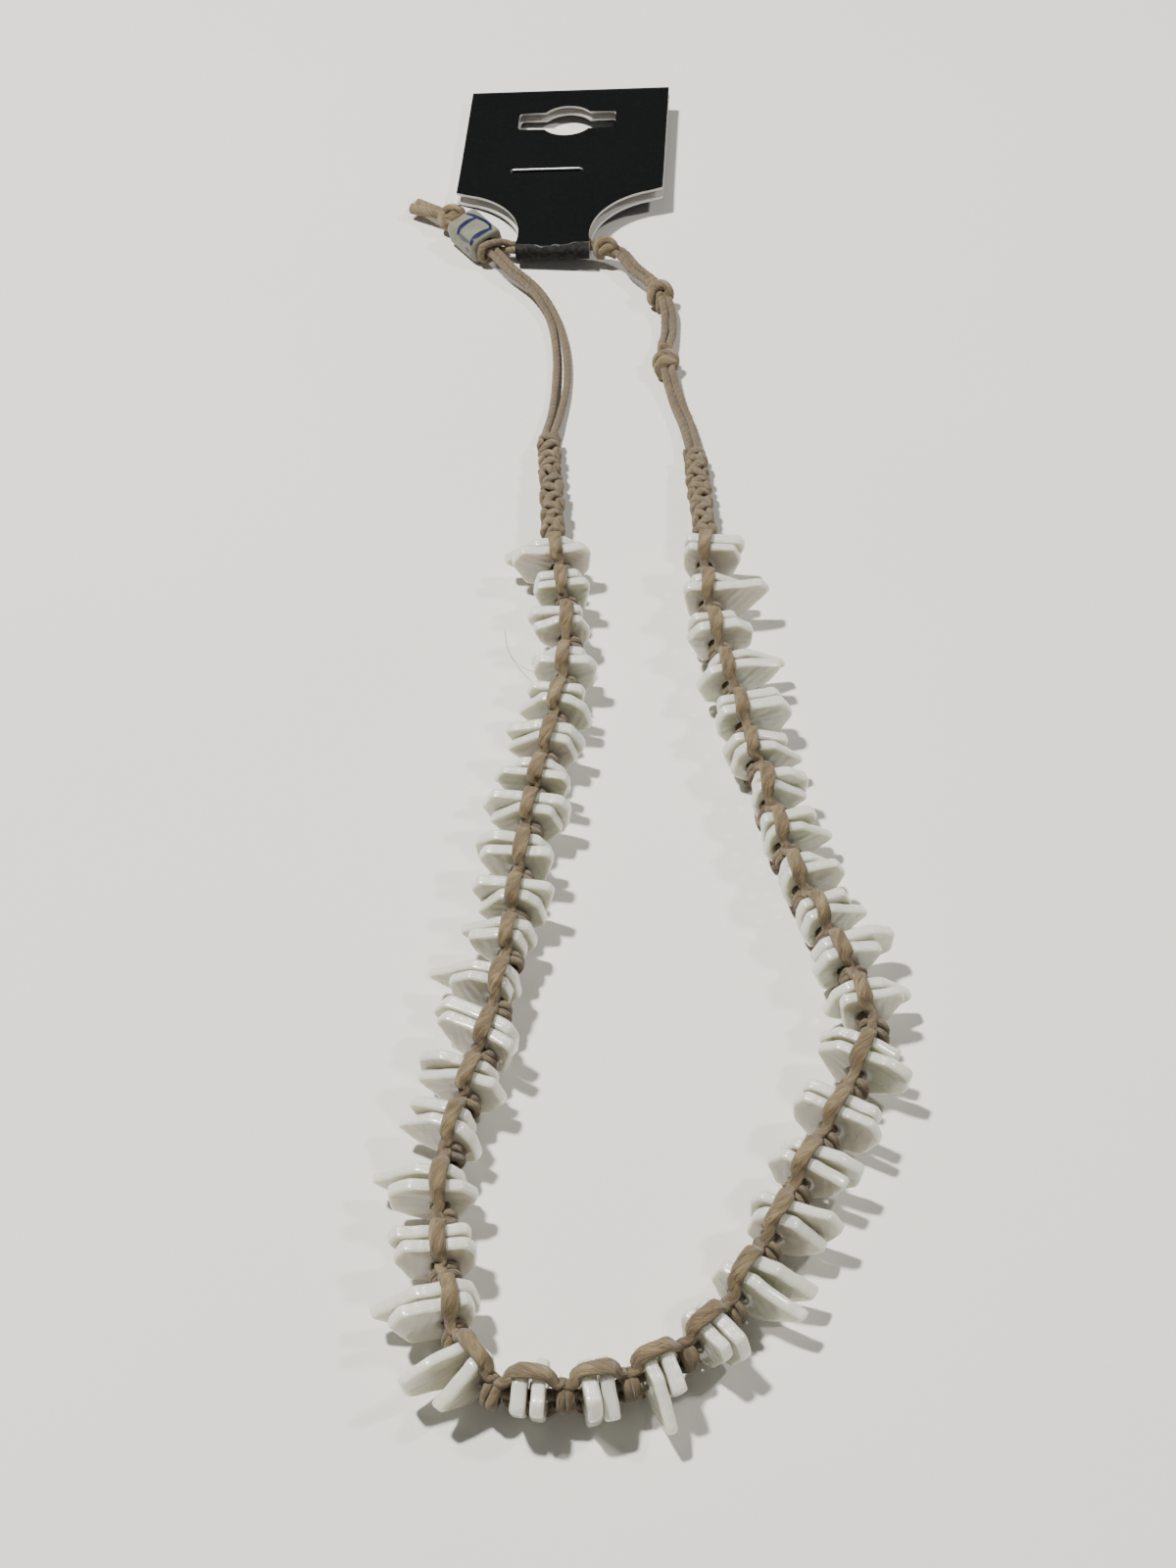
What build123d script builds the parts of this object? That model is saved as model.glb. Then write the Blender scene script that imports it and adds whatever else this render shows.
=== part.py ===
from build123d import *
import math
import os

# Puka shell necklace on a hang card, closed and lying on a flat surface. Millimetres.
# X runs to the right, Y from the bottom of the necklace towards the card, Z up.
# The origin is on the surface, under the middle of the whole thing's outline.

# Shell chips, drilled and strung in pairs
chip_thickness = 1.7
chip_reach = 5.0
chip_over = 3.4
chip_under = 3.1
chip_edge = 0.3
chip_gap = 0.15

# Hemp strands of the shell string
core_diameter = 1.4
core_play = 0.2
strand_width = 1.7
strand_thickness = 0.8
strand_edge = 0.3
strand_bend = 0.8
core_bend = 2.8
wrap_diameter = 4.1
fit_gap = 0.12

# Braided ends of the string
braid_diameter = 3.3
braid_waist = 2.5
braid_wraps = 7
braid_gap = 0.65

# Doubled twine ties and their knots
twine_diameter = 1.2
twine_spread = 0.57
ring_reach = 2.2
tie_knot_diameter = 4.2
tie_knot_play = 0.2
tie_coil_pitch = 1.0
tie_coil_rise = 0.35
tie_coil_lean = 18
stop_knot_coils = 4
tail_reach = 7.9
tail_width = 2.6
tail_root_width = 1.7
tail_thickness = 1.2
tail_corner = 0.5
tail_bearing = 145
tail_drop = 10

# Ceramic bead that buttons the necklace
bead_length = 7.6
bead_width = 6.2
bead_height = 4.8
bead_corner = 1.5
bead_rim = 0.7
bead_bore = 2.8
bead_place = (-23.7, 87.0)
bead_bearing = -54

# Folded hang card and its staple
card_width = 35.0
card_height = 50.0
card_thickness = 0.4
card_waist = 12.2
card_waist_length = 2.0
card_curve_length = 15.5
card_fold_height = 2.8
card_fold_bend = 0.9
card_pinch_gap = 1.1
card_place = (-10.75, 81.25)
card_lift = 1.4
card_turn = -3.2
card_roll = 4.0
slot_width = 17.0
slot_arm_height = 5.4
slot_corner = 0.8
slot_eye_diameter = 9.4
slot_from_fold = 40.1
staple_width = 12.7
staple_wire = 0.5
staple_leg_fold = 4.0
staple_bend = 0.6
staple_from_fold = 24.2
staple_shift = -2.5

# Route of the shell string, from the left braid round to the right one
STRING_ROUTE = [
    (-9.9, 8.4),
    (-8.2, -6.4),
    (-7.8, -17.9),
    (-10.0, -30.9),
    (-12.6, -44.9),
    (-14.2, -59.9),
    (-15.2, -72.9),
    (-18.2, -85.4),
    (-21.6, -97.9),
    (-21.6, -110.9),
    (-17.6, -128.8),
    (0.2, -126.5),
    (10.0, -118.7),
    (18.2, -101.9),
    (25.2, -88.9),
    (29.6, -78.9),
    (25.2, -67.9),
    (20.6, -55.9),
    (18.0, -43.4),
    (15.8, -29.9),
    (12.8, -14.9),
    (11.0, -2.9),
    (11.9, 9.2),
]

# Outlines of the cut chips as shares: sideways from the drilled hole to the outer (+)
# and inner (-) reach, and up to chip_over (+) or down to chip_under (-)
OUTLINES = {
    "slab": [(-1, 0.55), (-0.75, 1), (0.8, 0.95), (1, 0.3), (0.7, -0.85), (-0.5, -1), (-0.95, -0.3)],
    "fin": [(-0.8, 0.6), (-0.35, 1), (0.4, 0.9), (1, -0.1), (0.55, -0.8), (-0.3, -1), (-1, -0.4)],
    "wedge": [(-1, 0.2), (-0.6, 0.95), (0.25, 1), (1, 0.6), (0.8, -0.1), (0.15, -1), (-0.7, -0.8)],
    "kite": [(-0.7, 0.9), (0.2, 1), (1, 0.15), (0.35, -0.95), (-0.6, -0.8), (-1, 0)],
    "bar": [(-1, 0.7), (-0.85, 1), (0.85, 0.92), (1, 0.55), (0.6, -0.7), (0, -1), (-0.75, -0.7)],
    "tooth": [(-0.9, 0.35), (-0.5, 0.95), (0.6, 1), (1, 0.55), (0.95, -0.3), (0.3, -0.95), (-0.4, -1)],
}

# One row for each pair of chips, in order along the route: the share of the string's
# length from knot to knot, then for the first and the second chip its outline, its outer
# and inner reach as shares of chip_reach, and its lean in degrees, outer end forward
PAIRS = [
    (1.07, "fin", 1.50, 0.70, 0, "slab", 1.30, 0.95, 0),
    (0.83, "slab", 0.78, 0.62, 0, "bar", 0.82, 0.78, 0),
    (1.14, "bar", 1.05, 0.50, 0, "wedge", 0.90, 0.70, 3),
    (0.98, "kite", 0.95, 0.72, 0, "slab", 0.85, 0.90, 0),
    (0.97, "bar", 0.85, 0.72, 0, "fin", 1.05, 1.00, -2),
    (0.99, "wedge", 1.15, 1.00, 0, "kite", 1.05, 0.85, 0),
    (0.82, "fin", 1.20, 0.85, 0, "bar", 1.05, 0.90, 0),
    (0.82, "slab", 1.25, 1.05, 0, "kite", 1.00, 0.90, 0),
    (1.12, "tooth", 1.20, 0.85, -2, "bar", 1.05, 0.85, 2),
    (0.84, "bar", 1.10, 1.00, -3, "fin", 0.90, 0.85, -3),
    (0.88, "kite", 1.25, 0.70, -4, "wedge", 1.00, 0.50, -4),
    (1.05, "fin", 1.85, 0.50, -3, "tooth", 1.20, 0.40, -3),
    (0.98, "slab", 1.40, 0.85, -18, "bar", 1.20, 0.90, -18),
    (0.84, "tooth", 1.30, 0.75, -2, "kite", 1.25, 0.95, -2),
    (1.01, "wedge", 1.15, 0.50, -13, "fin", 1.35, 0.75, -13),
    (1.20, "fin", 1.65, 0.60, -2, "tooth", 1.20, 0.95, 3),
    (0.91, "bar", 1.15, 0.70, -2, "slab", 1.05, 0.80, -2),
    (1.01, "fin", 1.70, 0.75, 0, "slab", 1.35, 0.55, 3),
    (1.06, "tooth", 1.65, 0.35, -7, "kite", 1.35, 0.30, 7),
    (0.97, "wedge", 0.75, 0.55, -6, "bar", 0.80, 0.50, -4),
    (0.90, "slab", 0.85, 0.45, 0, "kite", 0.90, 0.55, 0),
    (0.90, "fin", 1.55, 0.50, -8, "wedge", 1.00, 0.40, -7),
    (0.97, "bar", 0.95, 0.45, -3, "slab", 1.15, 0.40, -3),
    (1.12, "kite", 1.60, 0.70, -5, "fin", 1.55, 0.40, 6),
    (1.10, "fin", 1.25, 0.60, 4, "slab", 1.45, 0.70, 5),
    (1.06, "wedge", 1.10, 0.85, 0, "tooth", 1.25, 0.80, 3),
    (1.12, "slab", 1.25, 0.95, 0, "bar", 1.05, 0.90, 0),
    (1.22, "tooth", 1.30, 1.15, -5, "wedge", 0.90, 1.10, -3),
    (1.12, "bar", 1.00, 0.60, 0, "fin", 1.35, 0.85, 0),
    (0.84, "wedge", 1.00, 0.80, 0, "tooth", 1.50, 0.75, 0),
    (0.91, "kite", 1.30, 0.50, 4, "slab", 1.00, 0.45, 4),
    (1.00, "slab", 1.25, 0.40, 0, "fin", 1.20, 0.35, 2),
    (0.98, "fin", 1.45, 0.40, 0, "bar", 1.10, 0.40, 3),
    (1.02, "kite", 1.10, 0.35, 0, "tooth", 1.20, 0.30, 0),
    (0.88, "fin", 1.35, 0.60, 0, "wedge", 1.00, 0.75, 0),
    (1.05, "slab", 1.40, 0.70, 5, "bar", 1.20, 0.60, 6),
    (1.07, "wedge", 1.50, 0.90, 6, "fin", 1.75, 0.55, 8),
    (1.13, "tooth", 1.05, 0.90, 0, "slab", 0.75, 0.70, 0),
    (1.02, "bar", 1.80, 0.65, 0, "kite", 1.25, 0.50, 3),
    (1.15, "slab", 1.05, 0.60, 0, "bar", 1.15, 0.60, 0),
]
left_pairs = 19

# Ties: place of the middle between the two twines, half their spacing in twine
# diameters, and the twist from side by side (0) to stacked (90)
LEFT_TIES = [
    (-11.0, 35.2, 1.9, 0.56, 0),
    (-10.0, 41.1, 1.2, 0.60, 0),
    (-9.2, 49.1, 0.8, 0.70, 0),
    (-9.3, 58.1, 0.8, 0.66, 0),
    (-10.7, 66.6, 1.0, 0.58, 0),
    (-13.6, 73.2, 1.6, 0.57, 0),
    (-17.8, 78.4, 2.2, 0.57, 0),
]
RIGHT_TIES = [
    (11.0, 31.4, 1.9, 0.58, 0),
    (10.2, 38.1, 1.3, 0.60, 0),
    (8.6, 45.1, 1.3, 0.60, 0),
    (7.5, 51.2, 2.2, 0.57, 0),
    (7.1, 56.6, 2.2, 0.57, 0),
    (7.9, 62.8, 1.3, 0.66, 0),
    (7.6, 68.8, 2.2, 0.57, 0),
    (5.7, 73.8, 2.3, 0.57, 0),
    (2.6, 78.4, 2.2, 0.60, 0),
    (0.2, 82.0, 2.8, 0.58, 0),
    (-4.4, 83.6, 3.2, 0.57, 0),
    (-10.6, 83.7, 2.8, 0.57, 0),
    (-16.9, 84.1, 2.3, 0.57, 8),
]

up = Vector(0, 0, 1)
core_height = chip_under + fit_gap + strand_thickness
wrap_bore = core_diameter / 2 + core_play
wrap_radius = (wrap_bore + wrap_diameter / 2) / 2


def tangent_arc_radii(points, share=0.45):
    """Radii whose arcs take the given share of the shorter run at each corner."""
    radii = []
    for before, corner, after in zip(points, points[1:], points[2:]):
        run_in = corner - before
        run_out = after - corner
        half_turn = math.radians(run_in.get_angle(run_out)) / 2
        radii.append(share * min(run_in.length, run_out.length) / math.tan(half_turn))
    return radii


def smooth_path(points):
    """Straight runs joined by tangent arcs through a list of chosen points."""
    points = [Vector(*point) for point in points]
    with BuildLine() as line:
        FilletPolyline(*points, radius=tangent_arc_radii(points))
    return line.wire()


def tube(path, diameter):
    """Round twine along a path."""
    with BuildPart() as twine:
        with BuildSketch(Plane(origin=path @ 0, z_dir=path % 0)):
            Circle(diameter / 2)
        sweep(path=path)
    bare = math.pi * diameter**2 / 4 * path.length
    print(f"tube {path.length:.1f} long, volume over section times length {twine.part.volume / bare:.4f}")
    return twine.part


# Knots of the string: it runs straight between them and bends inside each one
string_path = smooth_path([(x, y, core_height) for x, y in STRING_ROUTE])
share_length = string_path.length / sum(row[0] for row in PAIRS)
knots = [string_path @ 0]
knot_distance = 0
for row in PAIRS:
    knot_distance += row[0] * share_length
    knots.append(string_path.position_at(knot_distance, position_mode=PositionMode.LENGTH))
turns = [0]
for before, knot, after in zip(knots, knots[1:], knots[2:]):
    turns.append(math.radians((knot - before).get_angle(after - knot)))
turns.append(0)
print(f"shell string {string_path.length:.1f} long, {len(PAIRS)} pairs, {share_length:.2f} apart")
print(f"sharpest turn in a knot {math.degrees(max(turns)):.0f} degrees")


def drilled_hole_radius(lean):
    """Hole that the straight core passes through although the chip leans."""
    lean = math.radians(abs(lean))
    return core_diameter / 2 / math.cos(lean) + chip_thickness / 2 * math.tan(lean) + core_play


def chip(outline, outer, inner, lean):
    """One flat chip around its drilled hole, with chamfered faces."""
    points = []
    for sideways, height in OUTLINES[outline]:
        reach = outer if sideways > 0 else inner
        rise = chip_over if height > 0 else chip_under
        points.append((sideways * reach, height * rise))
    with BuildPart() as one_chip:
        with BuildSketch():
            with BuildLine():
                Polyline(*points, close=True)
            make_face()
        extrude(amount=chip_thickness / 2, both=True)
        flat_faces = one_chip.faces().filter_by(Axis.Z)
        chamfer(flat_faces.edges(), length=chip_edge)
        with BuildSketch(Plane.XY.offset(-chip_thickness)):
            Circle(drilled_hole_radius(lean))
        extrude(amount=2 * chip_thickness, mode=Mode.SUBTRACT)
    return one_chip.part


def pair_spacing(first, second):
    """Distance between the middles of two chips whose faces may lean apart."""
    _, outer_a, inner_a, lean_a = first
    _, outer_b, inner_b, lean_b = second
    tan_a = math.tan(math.radians(lean_a))
    tan_b = math.tan(math.radians(lean_b))
    if tan_a > tan_b:
        closing = min(outer_a, outer_b) * (tan_a - tan_b)
    else:
        closing = min(inner_a, inner_b) * (tan_b - tan_a)
    thickness = chip_thickness / 2 / math.cos(math.radians(lean_a))
    thickness += chip_thickness / 2 / math.cos(math.radians(lean_b))
    return thickness + closing + chip_gap


def placed_chip(place, forward, outline, outer, inner, lean):
    """A chip strung at a place of the string and turned by its lean."""
    turned_side = forward.cross(up).rotate(Axis.Z, lean)
    plane = Plane(origin=place, x_dir=turned_side, z_dir=turned_side.cross(up))
    return plane.location * chip(outline, outer, inner, lean)


def half_pair_length(first, second):
    """Half the length that a pair takes from its knots, at the wraps' outer radius."""
    lean = math.radians(max(abs(first[3]), abs(second[3])))
    edge = chip_thickness / 2 / math.cos(lean) + wrap_diameter / 2 * math.tan(lean)
    return pair_spacing(first, second) / 2 + edge + fit_gap


def half_seam(turn):
    """Half the seam in a knot, which stays open where the string bends."""
    return fit_gap / 2 + wrap_diameter / 2 * math.tan(turn / 2)


def wrap_ring(start, end):
    """One turn of the working strands round the core."""
    forward = (end - start).normalized()
    length = (end - start).length
    band = wrap_diameter / 2 - wrap_bore
    with BuildPart() as ring:
        with BuildSketch(Plane(origin=(start + end) / 2, x_dir=forward, z_dir=forward.cross(up))):
            with Locations((0, wrap_radius)):
                RectangleRounded(length, band, min(strand_edge, 0.4 * length))
        revolve(axis=Axis(start, forward))
    return ring.part


def passing_strand(start, end, rise):
    """A flat strand from one wrap past a pair of chips to the next; a negative rise
    takes it beneath them."""
    side = (end - start).normalized().cross(up)
    length = (end - start).length
    foot = math.copysign(wrap_radius, rise)
    with BuildPart() as strand:
        with BuildLine(Plane(origin=start, x_dir=end - start, z_dir=side)) as line:
            FilletPolyline((0, foot), (0, rise), (length, rise), (length, foot), radius=strand_bend)
        path = line.wire()
        with BuildSketch(Plane(origin=path @ 0, x_dir=side, z_dir=path % 0)):
            RectangleRounded(strand_width, strand_thickness, strand_edge)
        sweep(path=path)
    return strand.part


def knotted_link(start, end, start_turn, end_turn, first, second):
    """The working strands of one pair: a wrap, a strand over and one beneath, a wrap."""
    forward = (end - start).normalized()
    middle = (start + end) / 2
    room = half_pair_length(first, second)
    wraps = [
        (start + forward * half_seam(start_turn), middle - forward * room),
        (middle + forward * room, end - forward * half_seam(end_turn)),
    ]
    feet = [(wrap_start + wrap_end) / 2 for wrap_start, wrap_end in wraps]
    reach = fit_gap + strand_thickness / 2
    with BuildPart() as link:
        for wrap in wraps:
            add(wrap_ring(*wrap))
        add(passing_strand(*feet, chip_over + reach))
        add(passing_strand(*feet, -chip_under - reach))
    return link.part


chips = []
links = []
for index, row in enumerate(PAIRS):
    start, end = knots[index : index + 2]
    forward = (end - start).normalized()
    first = (row[1], row[2] * chip_reach, row[3] * chip_reach, row[4])
    second = (row[5], row[6] * chip_reach, row[7] * chip_reach, row[8])
    half_spacing = forward * (pair_spacing(first, second) / 2)
    chips.append(placed_chip((start + end) / 2 - half_spacing, forward, *first))
    chips.append(placed_chip((start + end) / 2 + half_spacing, forward, *second))
    links.append(knotted_link(start, end, *turns[index : index + 2], first, second))

with BuildPart() as shells_left:
    add(chips[: 2 * left_pairs])

with BuildPart() as shells_right:
    add(chips[2 * left_pairs :])

with BuildPart() as knotted_strands_left:
    add(links[:left_pairs])

with BuildPart() as knotted_strands_right:
    add(links[left_pairs:])

# Core through every chip and knot, with its ends just short of the braids
with BuildLine() as core_line:
    FilletPolyline(*knots, radius=core_bend)

with BuildPart() as core_cord:
    add(tube(core_line.wire(), core_diameter))


def braid(low_end, high_end):
    """A stiff braid of square knots, one bulge for each knot, between two points."""
    length = (high_end - low_end).length
    bulge = length / braid_wraps
    plane = Plane(origin=low_end, z_dir=high_end - low_end)
    with BuildPart() as one_braid:
        with BuildSketch(Plane(origin=low_end, x_dir=plane.z_dir, z_dir=plane.x_dir)):
            with BuildLine():
                edge = Line((0, 0), (0, braid_waist / 2))
                for index in range(braid_wraps):
                    edge = ThreePointArc(
                        edge @ 1,
                        ((index + 0.5) * bulge, braid_diameter / 2),
                        ((index + 1) * bulge, braid_waist / 2),
                    )
                Line(edge @ 1, (length, 0))
                Line((length, 0), (0, 0))
            make_face()
        revolve(axis=Axis(low_end, plane.z_dir))
    return one_braid.part


def twine_pair(rows, sign):
    """Points of one of the two twines of a tie."""
    centres = [Vector(*row[:3]) for row in rows]
    points = []
    for index, (row, centre) in enumerate(zip(rows, centres)):
        before = centres[max(index - 1, 0)]
        after = centres[min(index + 1, len(rows) - 1)]
        side = (after - before).cross(up).normalized()
        twist = math.radians(row[4])
        offset = side * math.cos(twist) + up * math.sin(twist)
        points.append(centre + offset * (sign * row[3] * twine_diameter))
    return points


# Braids rise from the ties' end on the surface to the height of the core
left_tie_start = Vector(*LEFT_TIES[0][:3])
left_string_end = string_path @ 0
left_along = (left_tie_start - left_string_end).normalized()
with BuildPart() as left_braid:
    add(braid(left_string_end + left_along * fit_gap, left_tie_start - left_along * braid_gap))

right_tie_start = Vector(*RIGHT_TIES[0][:3])
right_string_end = string_path @ 1
right_along = (right_tie_start - right_string_end).normalized()
with BuildPart() as right_braid:
    add(braid(right_string_end + right_along * fit_gap, right_tie_start - right_along * braid_gap))

# Bead, its axis pointing at the ring of the end loop
bearing = math.radians(bead_bearing)
bead_axis = Vector(math.cos(bearing), math.sin(bearing), 0)
bead_side = up.cross(bead_axis)
bead_centre = Vector(*bead_place, bead_height / 2)
bead_plane = Plane(origin=bead_centre, x_dir=bead_side, z_dir=bead_axis)
with BuildPart() as ceramic_bead:
    with BuildSketch(bead_plane.offset(-bead_length / 2)):
        RectangleRounded(bead_width, bead_height, bead_corner)
    extrude(amount=bead_length)
    end_faces = ceramic_bead.faces().sort_by(Axis(bead_centre, bead_axis))
    rims = end_faces[0].edges() + end_faces[-1].edges()
    fillet(rims, radius=bead_rim)
    with BuildSketch(bead_plane.offset(-bead_length)):
        Circle(bead_bore / 2)
    extrude(amount=2 * bead_length, mode=Mode.SUBTRACT)

# End loop's ring just in front of the bead, and the twines that it holds
ring_place = bead_centre + bead_axis * (bead_length / 2 + 2 * fit_gap + twine_diameter / 2)
ring_half_width = (twine_spread + 1) * twine_diameter + fit_gap
ring_half_height = twine_diameter + fit_gap
stop_place = bead_centre - bead_axis * (bead_length / 2 + fit_gap)

left_rows = LEFT_TIES + [
    (*(ring_place + bead_axis * ring_half_height), twine_spread, 0),
    (*stop_place, twine_spread, 0),
]
with BuildPart() as bead_ties:
    for sign in (-1, 1):
        add(tube(smooth_path(twine_pair(left_rows, sign)), twine_diameter))


def tie_knot(centre, axis, coils, bored=True):
    """A knot of the doubled twine: a few coils that lean across a barrel."""
    plane = Plane(origin=centre, z_dir=axis)
    length = coils * tie_coil_pitch
    with BuildPart() as knot:
        with BuildSketch(plane.offset(-length / 2)):
            Circle(tie_knot_diameter / 2 - tie_coil_rise)
        extrude(amount=length)
        for index in range(coils):
            place = plane.from_local_coords((0, 0, (index + 0.5) * tie_coil_pitch - length / 2))
            coil_plane = Plane(Location(plane) * Location((0, 0, 0), (tie_coil_lean, 0, 0)))
            with BuildSketch(Plane(origin=place, x_dir=coil_plane.x_dir, z_dir=coil_plane.y_dir)):
                with Locations(((tie_knot_diameter - twine_diameter) / 2, 0)):
                    Circle(twine_diameter / 2)
            revolve(axis=Axis(place, coil_plane.z_dir))
        if bored:
            with BuildSketch(plane.offset(-length)):
                Circle(twine_diameter + tie_knot_play)
            extrude(amount=2 * length, mode=Mode.SUBTRACT)
    return knot.part


# Stop knot beyond the bead, with the twines' flattened tail
stop_knot_reach = stop_knot_coils * tie_coil_pitch / 2 + tie_knot_diameter / 4
stop_knot_centre = stop_place - bead_axis * stop_knot_reach
tail_plane = Plane(
    Location(stop_knot_centre, (0, 0, tail_bearing)) * Location((0, 0, 0), (0, tail_drop, 0))
)
with BuildPart() as stop_knot:
    with BuildSketch(tail_plane) as tail_sketch:
        Polygon(
            (0, -tail_root_width / 2),
            (tail_reach, -tail_width / 2),
            (tail_reach, tail_width / 2),
            (0, tail_root_width / 2),
            align=None,
        )
        fillet(tail_sketch.vertices(), radius=tail_corner)
    extrude(amount=tail_thickness / 2, both=True)
    add(tie_knot(stop_knot_centre, bead_axis, stop_knot_coils, bored=False))

# Folded card: one strip bent round the ties, then cut to its outline
card_plane = Plane(
    Location((*card_place, card_lift), (0, 0, card_turn)) * Location((0, 0, 0), (0, -card_roll, 0))
)
half_sheet = card_thickness / 2
with BuildPart() as hang_card:
    side_plane = Plane(
        origin=card_plane.from_local_coords((-card_width / 2, 0, 0)),
        x_dir=card_plane.y_dir,
        z_dir=card_plane.x_dir,
    )
    with BuildSketch(side_plane):
        with BuildLine():
            FilletPolyline(
                (card_height, half_sheet),
                (half_sheet, half_sheet),
                (half_sheet, card_fold_height - half_sheet),
                (2 * card_fold_bend + half_sheet, card_fold_height - half_sheet),
                (staple_from_fold, card_pinch_gap + 3 * half_sheet),
                (card_height, card_pinch_gap + 3 * half_sheet),
                radius=[card_fold_bend, card_fold_bend, card_fold_bend, card_height / 4],
            )
        trace(line_width=card_thickness)
    extrude(amount=card_width)
    with BuildSketch(card_plane):
        with BuildLine():
            half_width = card_width / 2
            half_waist = card_waist / 2
            curve_end = card_waist_length + card_curve_length
            curve_middle = (
                half_waist + 0.28 * (half_width - half_waist),
                card_waist_length + 0.72 * card_curve_length,
            )
            Polyline(
                (half_waist, card_waist_length),
                (half_waist, 0),
                (-half_waist, 0),
                (-half_waist, card_waist_length),
            )
            ThreePointArc(
                (-half_waist, card_waist_length),
                (-curve_middle[0], curve_middle[1]),
                (-half_width, curve_end),
            )
            Polyline(
                (-half_width, curve_end),
                (-half_width, card_height),
                (half_width, card_height),
                (half_width, curve_end),
            )
            ThreePointArc(
                (half_width, curve_end), curve_middle, (half_waist, card_waist_length)
            )
        make_face()
    extrude(amount=2 * card_fold_height, both=True, mode=Mode.INTERSECT)
    with BuildSketch(card_plane):
        with Locations((0, slot_from_fold)):
            RectangleRounded(slot_width, slot_arm_height, slot_corner)
            Circle(slot_eye_diameter / 2)
    extrude(amount=2 * card_fold_height, both=True, mode=Mode.SUBTRACT)
    with BuildSketch(card_plane):
        with Locations((staple_shift, staple_from_fold)):
            with GridLocations(staple_width - staple_wire, 1, 2, 1):
                Circle(staple_wire / 2 + fit_gap / 2)
    extrude(amount=2 * card_fold_height, both=True, mode=Mode.SUBTRACT)

# Staple through both leaves, clinched beneath the back one
crown_height = card_pinch_gap + 2 * card_thickness + staple_wire / 2 + fit_gap
clinch_height = -staple_wire / 2 - fit_gap
with BuildPart() as staple:
    leg = (staple_width - staple_wire) / 2
    staple_plane = Plane(
        origin=card_plane.from_local_coords((staple_shift, staple_from_fold, 0)),
        x_dir=card_plane.x_dir,
        z_dir=-card_plane.y_dir,
    )
    with BuildLine(staple_plane) as wire_line:
        FilletPolyline(
            (staple_leg_fold - leg, clinch_height),
            (-leg, clinch_height),
            (-leg, crown_height),
            (leg, crown_height),
            (leg, clinch_height),
            (leg - staple_leg_fold, clinch_height),
            radius=staple_bend,
        )
    wire_path = wire_line.wire()
    with BuildSketch(Plane(origin=wire_path @ 0, z_dir=wire_path % 0)):
        Circle(staple_wire / 2)
    sweep(path=wire_path)

# End loop: one twine from the right braid through its knots and the card's fold,
# round the bead's ties and back
ring_right = bead_side * ring_reach
ring_left = bead_side * -ring_half_width
ring_rise = up * ring_half_height
loop_points = (
    twine_pair(RIGHT_TIES, 1)
    + [
        ring_place + ring_right + ring_rise,
        ring_place + ring_left + ring_rise,
        ring_place + ring_left - ring_rise,
        ring_place + ring_right - ring_rise,
    ]
    + twine_pair(RIGHT_TIES, -1)[::-1]
)
loop_radii = tangent_arc_radii(loop_points)
with BuildPart() as loop_tie:
    add(tube(smooth_path(loop_points), twine_diameter))
print(f"loop radii from {min(loop_radii):.2f} to {max(loop_radii):.1f}")


def right_knot(run, coils):
    """Knot of the right tie, round the run that starts at the given row."""
    run_start = Vector(*RIGHT_TIES[run][:3])
    run_end = Vector(*RIGHT_TIES[run + 1][:3])
    return tie_knot((run_start + run_end) / 2, run_end - run_start, coils)


with BuildPart() as right_knot_lower:
    add(right_knot(3, 4))

with BuildPart() as right_knot_middle:
    add(right_knot(6, 4))

with BuildPart() as right_knot_upper:
    add(right_knot(9, 2))

os.makedirs("parts", exist_ok=True)

shells_left.part.label = "shells_left"
export_step(shells_left.part, "parts/shells_left.step")

shells_right.part.label = "shells_right"
export_step(shells_right.part, "parts/shells_right.step")

knotted_strands_left.part.label = "knotted_strands_left"
export_step(knotted_strands_left.part, "parts/knotted_strands_left.step")

knotted_strands_right.part.label = "knotted_strands_right"
export_step(knotted_strands_right.part, "parts/knotted_strands_right.step")

core_cord.part.label = "core_cord"
export_step(core_cord.part, "parts/core_cord.step")

left_braid.part.label = "left_braid"
export_step(left_braid.part, "parts/left_braid.step")

right_braid.part.label = "right_braid"
export_step(right_braid.part, "parts/right_braid.step")

bead_ties.part.label = "bead_ties"
export_step(bead_ties.part, "parts/bead_ties.step")

loop_tie.part.label = "loop_tie"
export_step(loop_tie.part, "parts/loop_tie.step")

ceramic_bead.part.label = "ceramic_bead"
export_step(ceramic_bead.part, "parts/ceramic_bead.step")

stop_knot.part.label = "stop_knot"
export_step(stop_knot.part, "parts/stop_knot.step")

hang_card.part.label = "hang_card"
export_step(hang_card.part, "parts/hang_card.step")

staple.part.label = "staple"
export_step(staple.part, "parts/staple.step")

right_knot_lower.part.label = "right_knot_lower"
export_step(right_knot_lower.part, "parts/right_knot_lower.step")

right_knot_middle.part.label = "right_knot_middle"
export_step(right_knot_middle.part, "parts/right_knot_middle.step")

right_knot_upper.part.label = "right_knot_upper"
export_step(right_knot_upper.part, "parts/right_knot_upper.step")
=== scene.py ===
import math
from math import cos, pi, radians, sin

import bpy
import numpy as np
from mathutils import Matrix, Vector
from numpy.linalg import norm


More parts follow.
